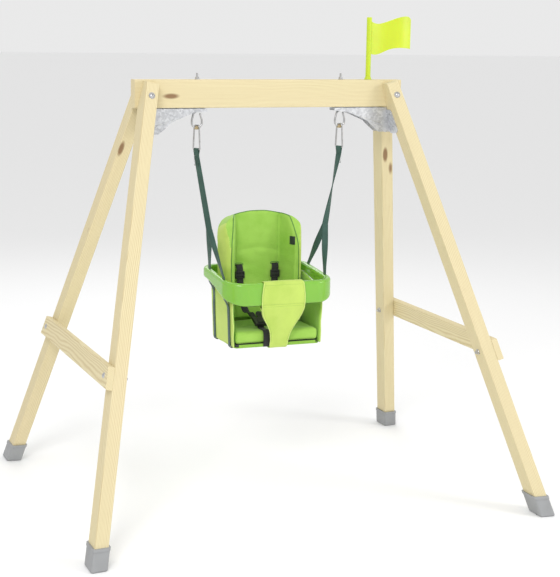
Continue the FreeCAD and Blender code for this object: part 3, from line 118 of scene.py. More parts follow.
FLOOR_HALF, FLOOR_DROP = 60.0, 0.0006
floor_mesh = bpy.data.meshes.new("floor")
corners = [(-1, -1), (1, -1), (1, 1), (-1, 1)]
floor_mesh.from_pydata([(x * FLOOR_HALF, y * FLOOR_HALF, -FLOOR_DROP) for x, y in corners], [],
                       [(0, 1, 2, 3)])
floor = bpy.data.objects.new("floor", floor_mesh)
bpy.context.scene.collection.objects.link(floor)
paper = bpy.data.materials.new("floor_paper")
paper.use_nodes = True
paper.node_tree.nodes["Principled BSDF"].inputs["Base Color"].default_value = (0.94, 0.94, 0.94, 1)
paper.node_tree.nodes["Principled BSDF"].inputs["Roughness"].default_value = 0.9
floor_mesh.materials.append(paper)
print("floor and three lamps ready")

# %% [markdown]
# ## Finishes
# Every finish is grown from noise and wave patterns, so it has the same grain at any distance. A small
# helper adds a node and wires its inputs in one line, which keeps each finish readable as a recipe:
# a base pattern, a colour made from it, and a bump made from it. Values that are the same all over are
# set on the shader itself.

# %% Helpers for building a finish


class Finish:
    """A new material with one main shader and a short way of adding nodes."""

    def __init__(self, name, colour, roughness, **sockets):
        self.material = bpy.data.materials.new(name)
        self.material.use_nodes = True
        self.tree = self.material.node_tree
        self.shader = self.tree.nodes["Principled BSDF"]
        self.shader.inputs["Base Color"].default_value = (*colour, 1)
        self.shader.inputs["Roughness"].default_value = roughness
        for socket, value in sockets.items():
            self.shader.inputs[socket.replace("_", " ")].default_value = value

    def add(self, kind, settings=None, **wires):
        """Adds a node. Wires are input names with a socket or a plain value."""
        node = self.tree.nodes.new(kind)
        for key, value in (settings or {}).items():
            setattr(node, key, value)
        for key, value in wires.items():
            key = key.replace("_", " ")
            if key.startswith("in") and key[2:].isdigit():
                socket = node.inputs[int(key[2:])]
            else:
                socket = node.inputs[key]
            if isinstance(value, bpy.types.NodeSocket):
                self.tree.links.new(value, socket)
            else:
                socket.default_value = value
        return node

    def math(self, operation, first, second=0.0):
        return self.add("ShaderNodeMath", {"operation": operation}, in0=first, in1=second).outputs[0]

    def object_place(self):
        return self.add("ShaderNodeTexCoord").outputs["Object"]

    def cloth_place(self):
        """Width and length across a strap, in metres, from its own map."""
        apart = self.add("ShaderNodeSeparateXYZ", Vector=self.add("ShaderNodeTexCoord").outputs["UV"])
        return apart.outputs["X"], apart.outputs["Y"]

    def noise(self, place, scale, detail=2.0, roughness=0.5):
        return self.add("ShaderNodeTexNoise", Vector=place, Scale=scale, Detail=detail,
                        Roughness=roughness).outputs["Fac"]

    def ramp(self, value, stops):
        """Colours at places along a value."""
        node = self.add("ShaderNodeValToRGB", Fac=value)
        elements = node.color_ramp.elements
        while len(elements) < len(stops):
            elements.new(0.5)
        for element, (place, colour) in zip(elements, stops):
            element.position, element.color = place, (*colour, 1)
        return node.outputs["Color"]

    def mix(self, share, first, second):
        node = self.add("ShaderNodeMix", {"data_type": "RGBA"})
        for socket, value in ((node.inputs[0], share), (node.inputs[6], first), (node.inputs[7], second)):
            if isinstance(value, bpy.types.NodeSocket):
                self.tree.links.new(value, socket)
            else:
                socket.default_value = value if isinstance(value, float) else (*value, 1)
        return node.outputs[2]

    def colour_from(self, socket):
        self.tree.links.new(socket, self.shader.inputs["Base Color"])

    def roughness_from(self, value, low, high):
        spread = self.add("ShaderNodeMapRange", Value=value, To_Min=low, To_Max=high)
        self.tree.links.new(spread.outputs["Result"], self.shader.inputs["Roughness"])

    def bump_from(self, height, depth, strength=1.0):
        """Raises the surface by a height pattern, depth metres for a whole step."""
        bump = self.add("ShaderNodeBump", Height=height, Distance=depth, Strength=strength)
        before = self.shader.inputs["Normal"].links
        if before:
            self.tree.links.new(before[0].from_socket, bump.inputs["Normal"])
        self.tree.links.new(bump.outputs["Normal"], self.shader.inputs["Normal"])


def tint(colour, share):
    """A colour made lighter or darker."""
    return tuple(min(1.0, c * share) for c in colour)


print("finish helpers ready")

# %% [markdown]
# Treated softwood is pale tan with a green cast. Its growth rings are tubes round the heart of the
# tree, so a ring pattern about an axis just outside the piece gives long lines on the faces and arcs
# on the sawn ends, from one pattern. Each piece gets its own turn, so the grain runs along it, and its
# own place in the tree.

# %% Timber
GRAIN_PALE, GRAIN_MID, GRAIN_DARK = (0.76, 0.66, 0.43), (0.70, 0.59, 0.36), (0.53, 0.40, 0.21)
KNOT = (0.19, 0.085, 0.032)
RING_SPACING = 0.0042


def timber(name, along, heart):
    """Softwood with its grain along a direction and its heart at a point."""
    wood = Finish(name, GRAIN_MID, 0.62, Specular_IOR_Level=0.35)
    turn = Vector(along).normalized().rotation_difference(Vector((1, 0, 0))).to_euler()
    place = wood.add("ShaderNodeMapping", Vector=wood.object_place(), Rotation=turn).outputs[0]
    centred = wood.add("ShaderNodeMapping", {"vector_type": "TEXTURE"},
                       Vector=place, Location=heart).outputs[0]
    waver = wood.add("ShaderNodeMapping", Vector=centred, Scale=(2.2, 9.0, 9.0)).outputs[0]
    wave = wood.add("ShaderNodeTexNoise", Vector=waver, Scale=1.0, Detail=2.5, Roughness=0.45)
    bent = wood.add("ShaderNodeVectorMath", {"operation": "MULTIPLY_ADD"}, in0=wave.outputs["Color"],
                    in1=(0.0, 0.03, 0.03), in2=centred).outputs[0]
    rings = wood.add("ShaderNodeTexWave",
                     {"wave_type": "RINGS", "rings_direction": "X", "wave_profile": "SIN"},
                     Vector=bent, Scale=0.314 / RING_SPACING, Distortion=0.6, Detail=2.0).outputs["Fac"]
    streak = wood.add("ShaderNodeMapping", Vector=place, Scale=(5.0, 420.0, 420.0)).outputs[0]
    fibres = wood.noise(streak, 1.0, 4.0, 0.6)
    lines = wood.math("ADD", wood.math("MULTIPLY", rings, 0.62), wood.math("MULTIPLY", fibres, 0.38))
    colour = wood.ramp(lines, [(0.22, GRAIN_PALE), (0.58, GRAIN_MID), (0.97, GRAIN_DARK)])
    blotch = wood.noise(wood.add("ShaderNodeMapping", Vector=place, Scale=(1.6, 6.0, 6.0)).outputs[0], 1.0)
    colour = wood.mix(wood.math("MULTIPLY", blotch, 0.42), colour, (0.62, 0.58, 0.32))
    spread = wood.add("ShaderNodeMapping", Vector=centred, Scale=(2.6, 8.0, 8.0)).outputs[0]
    spots = wood.add("ShaderNodeTexVoronoi", Vector=spread, Scale=1.0, Randomness=1.0).outputs["Distance"]
    knot = wood.add("ShaderNodeMapRange", {"interpolation_type": "SMOOTHSTEP"}, Value=spots,
                    From_Min=0.10, From_Max=0.05, To_Min=0.0, To_Max=1.0).outputs["Result"]
    wood.colour_from(wood.mix(wood.math("MULTIPLY", knot, 0.85), colour, KNOT))
    wood.roughness_from(fibres, 0.52, 0.74)
    wood.bump_from(lines, 0.0006, 0.7)
    return wood.material


def long_way(node):
    """Direction in which a node is longest, from its own points."""
    points = np.array([v.co for v in NODES[node].data.vertices])
    ways = np.linalg.svd(points - points.mean(0), full_matrices=False)[2]
    return Vector(ways[0])


TIMBER_NODES = ["beam", "brace_left", "brace_right"] + [
    f"leg_{end}_{side}" for end in ("front", "rear") for side, _ in SIDES]
for k, node in enumerate(TIMBER_NODES):
    heart = (0.37 * k, 0.045 + 0.012 * math.sin(2.1 * k), 0.06 + 0.014 * math.cos(1.7 * k))
    finish = timber(f"timber_{node}", long_way(node), heart)
    NODES[node].data.materials.clear()
    NODES[node].data.materials.append(finish)
print("timber on", len(TIMBER_NODES), "pieces")

# %% [markdown]
# ## Steel and moulded plastic
# Galvanised sheet has patches of zinc crystals that catch the light differently, so cells of a Voronoi
# pattern shift its colour and roughness a little. Zinc-plated rod is smoother, with faint streaks.
# Moulded plastic is one colour right through: what makes it real is a fine spark-eroded grain on the
# feet and buckle, and a slight waviness under the gloss of the guard ring.

# %% Steel and plastic finishes


def galvanised(name):
    sheet = Finish(name, (0.60, 0.61, 0.63), 0.4, Metallic=0.8)
    place = sheet.object_place()
    cells = sheet.add("ShaderNodeTexVoronoi", Vector=place, Scale=150.0)
    tone = sheet.add("ShaderNodeSeparateColor", Color=cells.outputs["Color"]).outputs[0]
    cloudy = sheet.noise(place, 26.0, 3.0)
    both = sheet.math("ADD", sheet.math("MULTIPLY", tone, 0.45), sheet.math("MULTIPLY", cloudy, 0.55))
    sheet.colour_from(sheet.ramp(both, [(0.2, (0.47, 0.48, 0.50)), (0.8, (0.72, 0.73, 0.75))]))
    sheet.roughness_from(both, 0.34, 0.52)
    sheet.bump_from(cloudy, 0.0004, 0.5)
    return sheet.material


def zinc_plate(name, tone=0.62):
    plate = Finish(name, (tone, tone, tone * 1.02), 0.3, Metallic=0.95)
    place = plate.object_place()
    fine = plate.noise(place, 900.0, 3.0)
    stain = plate.noise(place, 60.0, 2.0)
    plate.colour_from(plate.ramp(stain, [(0.3, (tone * 0.72,) * 3), (0.7, (tone, tone, tone * 1.03))]))
    plate.roughness_from(fine, 0.22, 0.42)
    plate.bump_from(fine, 0.0001, 0.5)
    return plate.material


def moulded(name, colour, roughness, grain=0.6, grain_scale=1500.0, variation=0.10, **sockets):
    """Plastic with an eroded grain and a slight drift of tone."""
    part = Finish(name, colour, roughness, **sockets)
    place = part.object_place()
    drift = part.noise(place, 9.0, 2.0)
    part.colour_from(part.ramp(drift, [(0.3, tint(colour, 1 - variation)),
                                       (0.7, tint(colour, 1 + variation))]))
    pits = part.noise(place, grain_scale, 2.0)
    part.roughness_from(pits, roughness * 0.85, roughness * 1.15)
    part.bump_from(pits, 0.00015, grain)
    return part


ring_finish = moulded("ring_green", (0.20, 0.47, 0.04), 0.24, 0.15, 900.0, 0.05,
                      Coat_Weight=0.35, Coat_Roughness=0.12, Subsurface_Weight=0.06)
ring_finish.bump_from(ring_finish.noise(ring_finish.object_place(), 16.0, 1.5), 0.0015, 0.35)
FINISH_OF = {
    "galvanised_sheet": galvanised("galvanised_sheet"),
    "zinc_plate": zinc_plate("zinc_plate"),
    "zinc_rod": zinc_plate("zinc_rod", 0.55),
    "foot_plastic": moulded("foot_plastic", (0.31, 0.316, 0.322), 0.5).material,
    "bush_plastic": moulded("bush_plastic", (0.42, 0.33, 0.18), 0.45).material,
    "ring_plastic": ring_finish.material,
    "flag_plastic": moulded("flag_plastic", (0.53, 0.66, 0.020), 0.34, 0.3, 900.0, 0.06,
                            Coat_Weight=0.15, Subsurface_Weight=0.08).material,
    "buckle_plastic": moulded("buckle_plastic", (0.018, 0.018, 0.019), 0.42, 0.5, 1800.0).material,
    "board_plastic": moulded("board_plastic", (0.06, 0.06, 0.06), 0.6).material,
}
PAINTED = {
    "galvanised_sheet": ["bracket_left", "bracket_right"],
    "zinc_plate": ["leg_screws", "leg_washers", "brace_bolts", "brace_washers", "brace_nuts",
                   "bracket_screws", "hook_washers", "hook_nuts", "flag_peg"],
    "zinc_rod": [f"{piece}_{side}" for piece in ("hook", "snap_hook", "snap_gate", "gate_pin")
                 for side, _ in SIDES],
    "foot_plastic": [f"foot_cap_{end}_{side}" for end in ("front", "rear") for side, _ in SIDES],
    "bush_plastic": ["hook_bush_left", "hook_bush_right"],
    "ring_plastic": ["guard_ring"],
    "flag_plastic": ["flag_pole", "flag_panel"],
    "buckle_plastic": ["adjuster_left", "adjuster_right", "buckle_tongue_left", "buckle_tongue_right",
                       "buckle_body", "buckle_button"],
    "board_plastic": ["seat_board"],
}
for finish, nodes in PAINTED.items():
    for node in nodes:
        NODES[node].data.materials.clear()
        NODES[node].data.materials.append(FINISH_OF[finish])
print("painted", sum(len(nodes) for nodes in PAINTED.values()), "metal and moulded pieces")

# %% [markdown]
# ## Cloth and webbing
# The seat is sewn from tightly woven nylon over foam. Its threads are finer than a millimetre, so
# they show as a soft twill bump close up and only as a sheen from afar; what the eye sees is a slow
# drift of tone where the cloth has been pulled and creased. Webbing is coarser: a herringbone that
# follows the strap, drawn from the strap's own map of width and length in metres.

# %% Cloth and webbing finishes
THREAD_PITCH = 0.0011


def seat_cloth(name, colour, shade):
    """Twill nylon: diagonal threads, slow creases and a nylon sheen."""
    cloth = Finish(name, colour, 0.66, Sheen_Weight=0.18, Sheen_Roughness=0.45, Specular_IOR_Level=0.4)
    place = cloth.object_place()
    apart = cloth.add("ShaderNodeSeparateXYZ", Vector=place)
    across = cloth.math("ADD", apart.outputs["X"], apart.outputs["Y"])
    turns = 2 * math.pi / THREAD_PITCH
    weft = cloth.math("SINE", cloth.math("MULTIPLY", cloth.math("ADD", across, apart.outputs["Z"]), turns))
    warp = cloth.math("SINE", cloth.math("MULTIPLY", cloth.math("SUBTRACT", across, apart.outputs["Z"]),
                                         turns * 0.5))
    weave = cloth.math("MULTIPLY", weft, warp)
    drift = cloth.noise(place, 11.0, 3.0, 0.55)
    flecks = cloth.noise(place, 700.0, 2.0)
    tone = cloth.math("ADD", cloth.math("MULTIPLY", drift, 0.8), cloth.math("MULTIPLY", flecks, 0.2))
    cloth.colour_from(cloth.ramp(tone, [(0.25, shade), (0.52, colour), (0.8, tint(colour, 1.12))]))
    cloth.roughness_from(drift, 0.58, 0.76)
    cloth.bump_from(weave, 0.00012, 0.45)
    creases = cloth.add("ShaderNodeMapping", Vector=place, Scale=(17.0, 17.0, 34.0)).outputs[0]
    cloth.bump_from(cloth.noise(creases, 1.0, 2.5, 0.5), 0.006, 0.35)
    return cloth.material


def herringbone(name, colour, light):
    """Webbing whose chevrons meet along its middle, with a plain selvedge each side."""
    web = Finish(name, colour, 0.6, Sheen_Weight=0.12, Specular_IOR_Level=0.45)
    across, along = web.cloth_place()
    chevron = web.math("ADD", along, web.math("PINGPONG", web.math("ADD", across, 1.0), 0.004))
    rib = web.math("SINE", web.math("MULTIPLY", chevron, 2 * math.pi / 0.0022))
    warp = web.math("SINE", web.math("MULTIPLY", across, 2 * math.pi / 0.0012))
    height = web.math("ADD", web.math("MULTIPLY", rib, 0.7), web.math("MULTIPLY", warp, 0.3))
    level = web.math("MULTIPLY_ADD", height, 0.5)
    level.node.inputs[2].default_value = 0.5
    wear = web.noise(web.object_place(), 24.0, 3.0)
    # Part of the colour follows the weave height: painted shade in the grooves (the darkest stop) and painted
    # highlight on the ribs (the light stop). The wear noise adds random tone.
    tone = web.math("ADD", web.math("MULTIPLY", level, 0.45), web.math("MULTIPLY", wear, 0.55))
    web.colour_from(web.ramp(tone, [(0.25, tint(colour, 0.6)), (0.55, colour), (0.9, light)]))
    web.roughness_from(level, 0.5, 0.75)
    web.bump_from(level, 0.0004, 0.8)
    return web.material


def spun_thread(name, colour):
    """Sewing thread and piping cord: a plain colour with a fine twist."""
    thread = Finish(name, colour, 0.55, Sheen_Weight=0.15)
    twist = thread.noise(thread.object_place(), 1300.0, 2.0)
    thread.colour_from(thread.ramp(twist, [(0.3, tint(colour, 0.8)), (0.7, tint(colour, 1.15))]))
    thread.bump_from(twist, 0.0002, 0.6)
    return thread.material


cloth_green = seat_cloth("cloth_green", (0.33, 0.58, 0.085), (0.24, 0.49, 0.045))
cloth_lime = seat_cloth("cloth_lime", (0.50, 0.655, 0.125), (0.40, 0.58, 0.08))
cloth_base = seat_cloth("cloth_base", (0.25, 0.48, 0.05), (0.18, 0.40, 0.03))
# The last colour given to each webbing is its painted highlight on the weave ribs.
web_green = herringbone("web_green", (0.030, 0.088, 0.068), (0.060, 0.150, 0.120))
web_black = herringbone("web_black", (0.010, 0.010, 0.011), (0.040, 0.040, 0.042))
thread_green = spun_thread("thread_green", (0.22, 0.42, 0.05))
piping_dark = spun_thread("piping_dark", (0.075, 0.22, 0.035))
piping_pale = spun_thread("piping_pale", (0.62, 0.74, 0.22))
thread_dark = spun_thread("thread_dark", (0.016, 0.05, 0.036))
tag_cloth = seat_cloth("tag_cloth", (0.016, 0.03, 0.018), (0.010, 0.018, 0.012))
print("cloth, webbing and thread finishes ready")

# %% [markdown]
# ## Webbing
# Each strap is a flat woven strip. It is lofted through stations: a point on its centre line and the
# direction of its width, so it can twist as it hangs. Its section has a raised selvedge on both edges,
# and its map holds the width and the length in metres, which the herringbone reads.

# %% Loft of a woven strip
WEB_WIDTH, WEB_THICK = 0.022, 0.002
BELT_WIDTH, BELT_THICK = 0.025, 0.0018
ACROSS_STEPS = 6


def strip_section(width, thick):
    """Outline of a strip's section, round a flat middle with soft raised edges."""
    half, t = width / 2, thick / 2
    upper = []
    for k in range(ACROSS_STEPS + 1):
        share = k / ACROSS_STEPS
        x = -half + 2 * half * share
        edge = abs(2 * share - 1)
        height = t * (0.80 + 0.20 * edge ** 3) if edge < 1 else t * 0.45
        upper.append((x, height))
    return upper + [(x, -h) for x, h in upper[::-1]]


def smooth_line(points, steps):
    """A soft curve through points, as a list of points evenly spaced along it."""
    spline = np.array([tuple(p) for p in points], float)
    lengths = np.r_[0, np.cumsum(np.linalg.norm(np.diff(spline, axis=0), axis=1))]
    tangents = np.gradient(spline, lengths, axis=0)
    wanted = np.linspace(0, lengths[-1], steps)
    found = []
    for s in wanted:
        k = min(np.searchsorted(lengths, s, side="right") - 1, len(lengths) - 2)
        h = lengths[k + 1] - lengths[k]
        t = (s - lengths[k]) / h
        a = (2 * t ** 3 - 3 * t ** 2 + 1) * spline[k] + (t ** 3 - 2 * t ** 2 + t) * h * tangents[k]
        b = (3 * t ** 2 - 2 * t ** 3) * spline[k + 1] + (t ** 3 - t ** 2) * h * tangents[k + 1]
        found.append(Vector(a + b))
    return found


def woven_strip(name, centres, widths, width, thick, finish, body="swing_seat"):
    """Strip through centre points, with the direction of its width at each, as one closed mesh."""
    section = strip_section(width, thick)
    ring, mesh = len(section), bmesh.new()
    layer = mesh.loops.layers.uv.new("cloth")
    rows, along, travelled = [], [0.0], 0.0
    for k, centre in enumerate(centres):
        run = (centres[min(k + 1, len(centres) - 1)] - centres[max(k - 1, 0)]).normalized()
        wide = (widths[k] - run * widths[k].dot(run)).normalized()
        thin = run.cross(wide)
        rows.append([mesh.verts.new(centre + wide * x + thin * h) for x, h in section])
        if k:
            travelled += (centre - centres[k - 1]).length
            along.append(travelled)
    for k in range(len(rows) - 1):
        for j in range(ring):
            face = mesh.faces.new((rows[k][j], rows[k][(j + 1) % ring],
                                   rows[k + 1][(j + 1) % ring], rows[k + 1][j]))
            places = ((section[j][0], along[k]), (section[(j + 1) % ring][0], along[k]),
                      (section[(j + 1) % ring][0], along[k + 1]), (section[j][0], along[k + 1]))
            for loop, place in zip(face.loops, places):
                loop[layer].uv = place
            face.smooth = True
    for row in (rows[0][::-1], rows[-1]):
        cap = mesh.faces.new(row)
        for loop in cap.loops:
            loop[layer].uv = (0.0, 0.0)
    bmesh.ops.recalc_face_normals(mesh, faces=mesh.faces)
    data = bpy.data.meshes.new(name)
    mesh.to_mesh(data)
    mesh.free()
    data.materials.append(finish)
    strip = bpy.data.objects.new(name, data)
    bpy.context.scene.collection.objects.link(strip)
    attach(strip, body)
    return strip, travelled


print("strip section points", len(strip_section(WEB_WIDTH, WEB_THICK)))

# %% [markdown]
# On each side one length of webbing goes over the bar of the snap hook, hangs as two layers down to a
# fork, and then splits to the front and rear slots of the ring. The upper part is in tension, so it is
# straight, and it turns about its own length on the way down, more on the right than on the left.
# Below the ring the same webbing is sewn down the seat's side and under it.

# %% Hanging straps
HOOK_X, SNAP_TURN = 0.266, -62.0
LOOP_CLOSE_Z, FORK_Z = 1.196, 0.945
RING_MID_X, RING_FRONT, RING_REAR = 0.189, -0.158, 0.150
RING_TOP_FRONT, RING_TOP_REAR = 0.768, 0.795
RING_LOW_FRONT, RING_LOW_MIDDLE, RING_LOW_REAR = 0.684, 0.737, 0.757
STRAP_FRONT_Y, STRAP_REAR_Y = -0.075, 0.076
STRAP_TURNS = {-1: (SNAP_TURN, -45.0, -90.0, -90.0), 1: (SNAP_TURN, -178.0, -270.0, -270.0)}
LAYER = WEB_THICK / 2 + 0.00005
SEAT_FLOOR_Z, SEAT_HALF_WIDTH, SEAT_TAPER = 0.536, 0.172, 0.007
SEAT_FRONT, SEAT_REAR = -0.110, 0.122
UNDER_SEAT, STRIP_ROWS = 0.060, 24


def ring_top_z(y):
    return RING_TOP_FRONT + (RING_TOP_REAR - RING_TOP_FRONT) * (y - RING_FRONT) / (RING_REAR - RING_FRONT)


def ring_low_z(y):
    """Lower edge of the ring, on the arc through its three heights."""
    y1, z1 = RING_FRONT, RING_LOW_FRONT
    y2, z2 = 0, RING_LOW_MIDDLE
    y3, z3 = RING_REAR, RING_LOW_REAR
    square1, square2, square3 = y1 ** 2 + z1 ** 2, y2 ** 2 + z2 ** 2, y3 ** 2 + z3 ** 2
    d = 2 * (y1 * (z2 - z3) + y2 * (z3 - z1) + y3 * (z1 - z2))
    cy = (square1 * (z2 - z3) + square2 * (z3 - z1) + square3 * (z1 - z2)) / d
    cz = (square1 * (y3 - y2) + square2 * (y1 - y3) + square3 * (y2 - y1)) / d
    radius = math.hypot(y2 - cy, z2 - cz)
    return cz + math.copysign(math.sqrt(radius ** 2 - (y - cy) ** 2), z2 - cz)


def turned(degrees):
    """Direction in plan, and the one square to it."""
    a = math.radians(degrees)
    return Vector((math.cos(a), math.sin(a), 0)), Vector((-math.sin(a), math.cos(a), 0))


def mix_values(a, b, share):
    return a + (b - a) * share


def hanging_strip(sx, layer, end_turn, y):
    """Centre points and width directions of one layer, from the snap hook to under the seat."""
    top_turn, fork_turn = STRAP_TURNS[sx][:2]
    hang = Vector((sx * HOOK_X, 0, LOOP_CLOSE_Z))
    fork_x = mix_values(HOOK_X, RING_MID_X, (LOOP_CLOSE_Z - FORK_Z) / (LOOP_CLOSE_Z - ring_top_z(0)))
    fork = Vector((sx * fork_x, 0, FORK_Z))
    towards = math.copysign(1, y * math.cos(math.radians(fork_turn)))
    slot = Vector((sx * RING_MID_X, y, ring_top_z(y) + 0.001))
    centres, widths = [], []
    for start, end, turn_a, turn_b, soft in ((hang, fork, top_turn, fork_turn, False),
                                             (fork, slot, fork_turn, end_turn, True)):
        for k in range(0 if not soft else 1, STRIP_ROWS + 1):
            share = k / STRIP_ROWS
            turn_share = share * share * (3 - 2 * share) if soft else share
            wide, flat = turned(mix_values(turn_a, turn_b, turn_share))
            off = LAYER * towards * ((1 - share) if soft else 1)
            centres.append(start.lerp(end, share) + flat * off)
            widths.append(wide)
    side = SEAT_HALF_WIDTH + 0.0003 + WEB_THICK / 2
    foot = side - SEAT_TAPER + 0.0003
    low = SEAT_FLOOR_Z - 0.0003 - WEB_THICK / 2
    down = [(RING_MID_X, ring_low_z(y) - 0.002), (RING_MID_X - 0.002, ring_low_z(y) - 0.009),
            (side + 0.004, ring_low_z(y) - 0.027), (side, ring_low_z(y) - 0.037),
            (side - 0.002, 0.655), (side - 0.0045, 0.595), (foot, low + 0.012),
            (foot - 0.0004, low + 0.003), (foot - 0.003, low + 0.0002),
            (foot - 0.012, low), (foot - UNDER_SEAT, low)]
    line = smooth_line([Vector((sx * x, y, z)) for x, z in [(RING_MID_X, slot.z)] + down], 60)
    edge = widths[-1]
    centres += line[1:]
    widths += [edge] * (len(line) - 1)
    return centres, widths


for side, sx in SIDES:
    for end, layer, turn, y in (("front", 1, STRAP_TURNS[sx][2], STRAP_FRONT_Y),
                                ("rear", -1, STRAP_TURNS[sx][3], STRAP_REAR_Y)):
        centres, widths = hanging_strip(sx, layer, turn, y)
        strip, length = woven_strip(f"webbing_{end}_{side}", centres, widths, WEB_WIDTH, WEB_THICK, web_green)
        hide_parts(f"strap_{end}_{side}")
        print(strip.name, "length", round(length, 3))

# %% [markdown]
# The loop round the snap hook's bar is a short piece of the same strip: up one side, over the bar and
# down the other. It is closed by a sewn box below the bar, so the two layers lie tight together.

# %% Loop round each snap hook
SNAP_BOTTOM_Z, SNAP_ROD = 1.217, 0.0055
for side, sx in SIDES:
    wide, flat = turned(SNAP_TURN)
    hook = Vector((sx * HOOK_X, 0, 0))
    radius = SNAP_ROD / 2 + 0.0003 + WEB_THICK / 2
    line = [(-LAYER, LOOP_CLOSE_Z), (-LAYER - 0.0006, LOOP_CLOSE_Z + 0.005), (-radius, SNAP_BOTTOM_Z - 0.002)]
    for k in range(9):
        a = math.pi * k / 8
        line.append((-radius * math.cos(a), SNAP_BOTTOM_Z + radius * math.sin(a)))
    line += [(-across, z) for across, z in line[2::-1]]
    points = [hook + flat * across + Vector((0, 0, z)) for across, z in line]
    centres = smooth_line(points, 40)
    loop, length = woven_strip(f"webbing_loop_{side}", centres, [wide] * len(centres), WEB_WIDTH, WEB_THICK,
                               web_green)
    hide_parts(f"strap_loop_{side}")
    print(loop.name, "length", round(length, 3))

# %% [markdown]
# The harness is black webbing: a strap from each slot in the back, through a ladder lock, down to a
# tongue in the buckle, and one strap from the buckle over the cushion and down its front. Its
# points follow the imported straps, and a soft curve through them keeps the webbing from kinking.

# %% Harness straps
BACK_FACE_Y, BELT_SLOT_X, BELT_SLOT_Z, ADJUSTER_Z = 0.103, 0.069, 0.794, 0.757
BUCKLE_MID = Vector((-0.042, -0.042, 0.6115))
BUCKLE_HEIGHT, BUCKLE_DEEP, BAR_SLOT, TONGUE_SPACING = 0.040, 0.013, 0.0055, 0.0115
LEAN = math.radians(65.0)
BUCKLE_UP = Vector((0, math.sin(LEAN), math.cos(LEAN)))
BUCKLE_OUT = Vector((0, -math.cos(LEAN), math.sin(LEAN)))
CUSHION_TOP, CUSHION_ROUND = 0.5916, 0.012

for side, sx in SIDES:
    lift = BUCKLE_HEIGHT / 2 + 0.017
    end = BUCKLE_MID + Vector((sx * (TONGUE_SPACING + 0.002), 0, 0)) + BUCKLE_UP * lift - BUCKLE_OUT * 0.0015
    x0, face = sx * BELT_SLOT_X, BACK_FACE_Y
    points = [(x0, face + 0.014, BELT_SLOT_Z), (x0, face + 0.002, BELT_SLOT_Z),
              (x0, face - 0.005, BELT_SLOT_Z - 0.005), (x0 * 0.99, face - 0.008, BELT_SLOT_Z - 0.013),
              (x0 * 0.98, face - 0.0085, ADJUSTER_Z + 0.012), (x0 * 0.96, face - 0.009, ADJUSTER_Z - 0.022),
              (mix_values(x0, end.x, 0.12), face - 0.014, 0.702),
              (mix_values(x0, end.x, 0.30), face - 0.034, 0.664),
              (mix_values(x0, end.x, 0.60), face - 0.072, 0.632),
              (mix_values(x0, end.x, 0.88), end.y + 0.022, end.z + 0.0085),
              (end.x, end.y + 0.0082, end.z + 0.0038), (end.x, end.y + 0.0009, end.z + 0.0004)]
    centres = smooth_line(points, 90)
    belt, length = woven_strip(f"harness_shoulder_{side}", centres, [Vector((1, 0, 0))] * len(centres),
                               BELT_WIDTH, BELT_THICK, web_black)
    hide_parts(f"shoulder_strap_{side}")
    print(belt.name, "length", round(length, 3))

slot_at = BUCKLE_MID - BUCKLE_UP * (BUCKLE_HEIGHT / 2 - BAR_SLOT)
half_deep, rise = BUCKLE_DEEP / 2, BELT_THICK / 2 + 0.0006
bend = CUSHION_ROUND + 0.0022
points = [slot_at + BUCKLE_OUT * (half_deep + 0.0015), slot_at, slot_at - BUCKLE_OUT * (half_deep + 0.002)]
behind = points[-1]
x = BUCKLE_MID.x
points += [Vector((x, behind.y - 0.0015, CUSHION_TOP + rise + 0.0014)),
           Vector((x, behind.y - 0.006, CUSHION_TOP + rise)),
           Vector((x, SEAT_FRONT + 0.026, CUSHION_TOP + rise))]
for angle in (90, 67, 45, 22, 0):
    a = math.radians(angle)
    points.append(Vector((x, SEAT_FRONT + CUSHION_ROUND - bend * math.cos(a),
                          CUSHION_TOP - CUSHION_ROUND + bend * math.sin(a))))
points.append(Vector((x, SEAT_FRONT - 0.0022, SEAT_FLOOR_Z + 0.001)))
centres = smooth_line(points, 70)
belt, length = woven_strip("harness_crotch", centres, [Vector((1, 0, 0))] * len(centres), BELT_WIDTH,
                           BELT_THICK, web_black)
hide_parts("crotch_strap")
print(belt.name, "length", round(length, 3))

# %% [markdown]
# ## Padded pieces
# The seat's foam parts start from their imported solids. Each is copied, given an even skin of small
# faces, drawn in a little, and then puffed by Cloth with air pressure, which rounds the edges and
# lets the cloth bulge between its seams. A cap keeps every point within a few millimetres of where
# it began, so a pad never grows into its neighbour. Smoothing and one subdivision finish it.

# %% Puffed pad
PUFF_FRAMES = 18


def even_skin(name, node, voxel, draw_in):
    """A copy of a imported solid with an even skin, drawn in along its normals."""
    data = NODES[node].data.copy()
    data.name = name
    data.materials.clear()
    mesh = bmesh.new()
    mesh.from_mesh(data)
    bmesh.ops.remove_doubles(mesh, verts=mesh.verts, dist=1e-6)
    mesh.to_mesh(data)
    mesh.free()
    pad = bpy.data.objects.new(name, data)
    bpy.context.scene.collection.objects.link(pad)
    remesh = pad.modifiers.new("skin", "REMESH")
    remesh.mode, remesh.voxel_size, remesh.adaptivity = "VOXEL", voxel, 0.0
    smooth = pad.modifiers.new("soften", "SMOOTH")
    smooth.factor, smooth.iterations = 0.5, 3
    apply_shape(pad)
    data = pad.data
    normals = np.array([v.normal for v in data.vertices])
    points = np.array([v.co for v in data.vertices]) - normals * draw_in
    data.vertices.foreach_set("co", points.astype(np.float32).ravel())
    data.update()
    return pad


def apply_shape(pad):
    """Replaces a piece's mesh by what its modifiers make of it."""
    bpy.context.view_layer.update()
    finished = bpy.data.meshes.new_from_object(pad.evaluated_get(bpy.context.evaluated_depsgraph_get()))
    pad.modifiers.clear()
    old, name = pad.data, pad.data.name
    pad.data = finished
    bpy.data.meshes.remove(old)
    finished.name = name


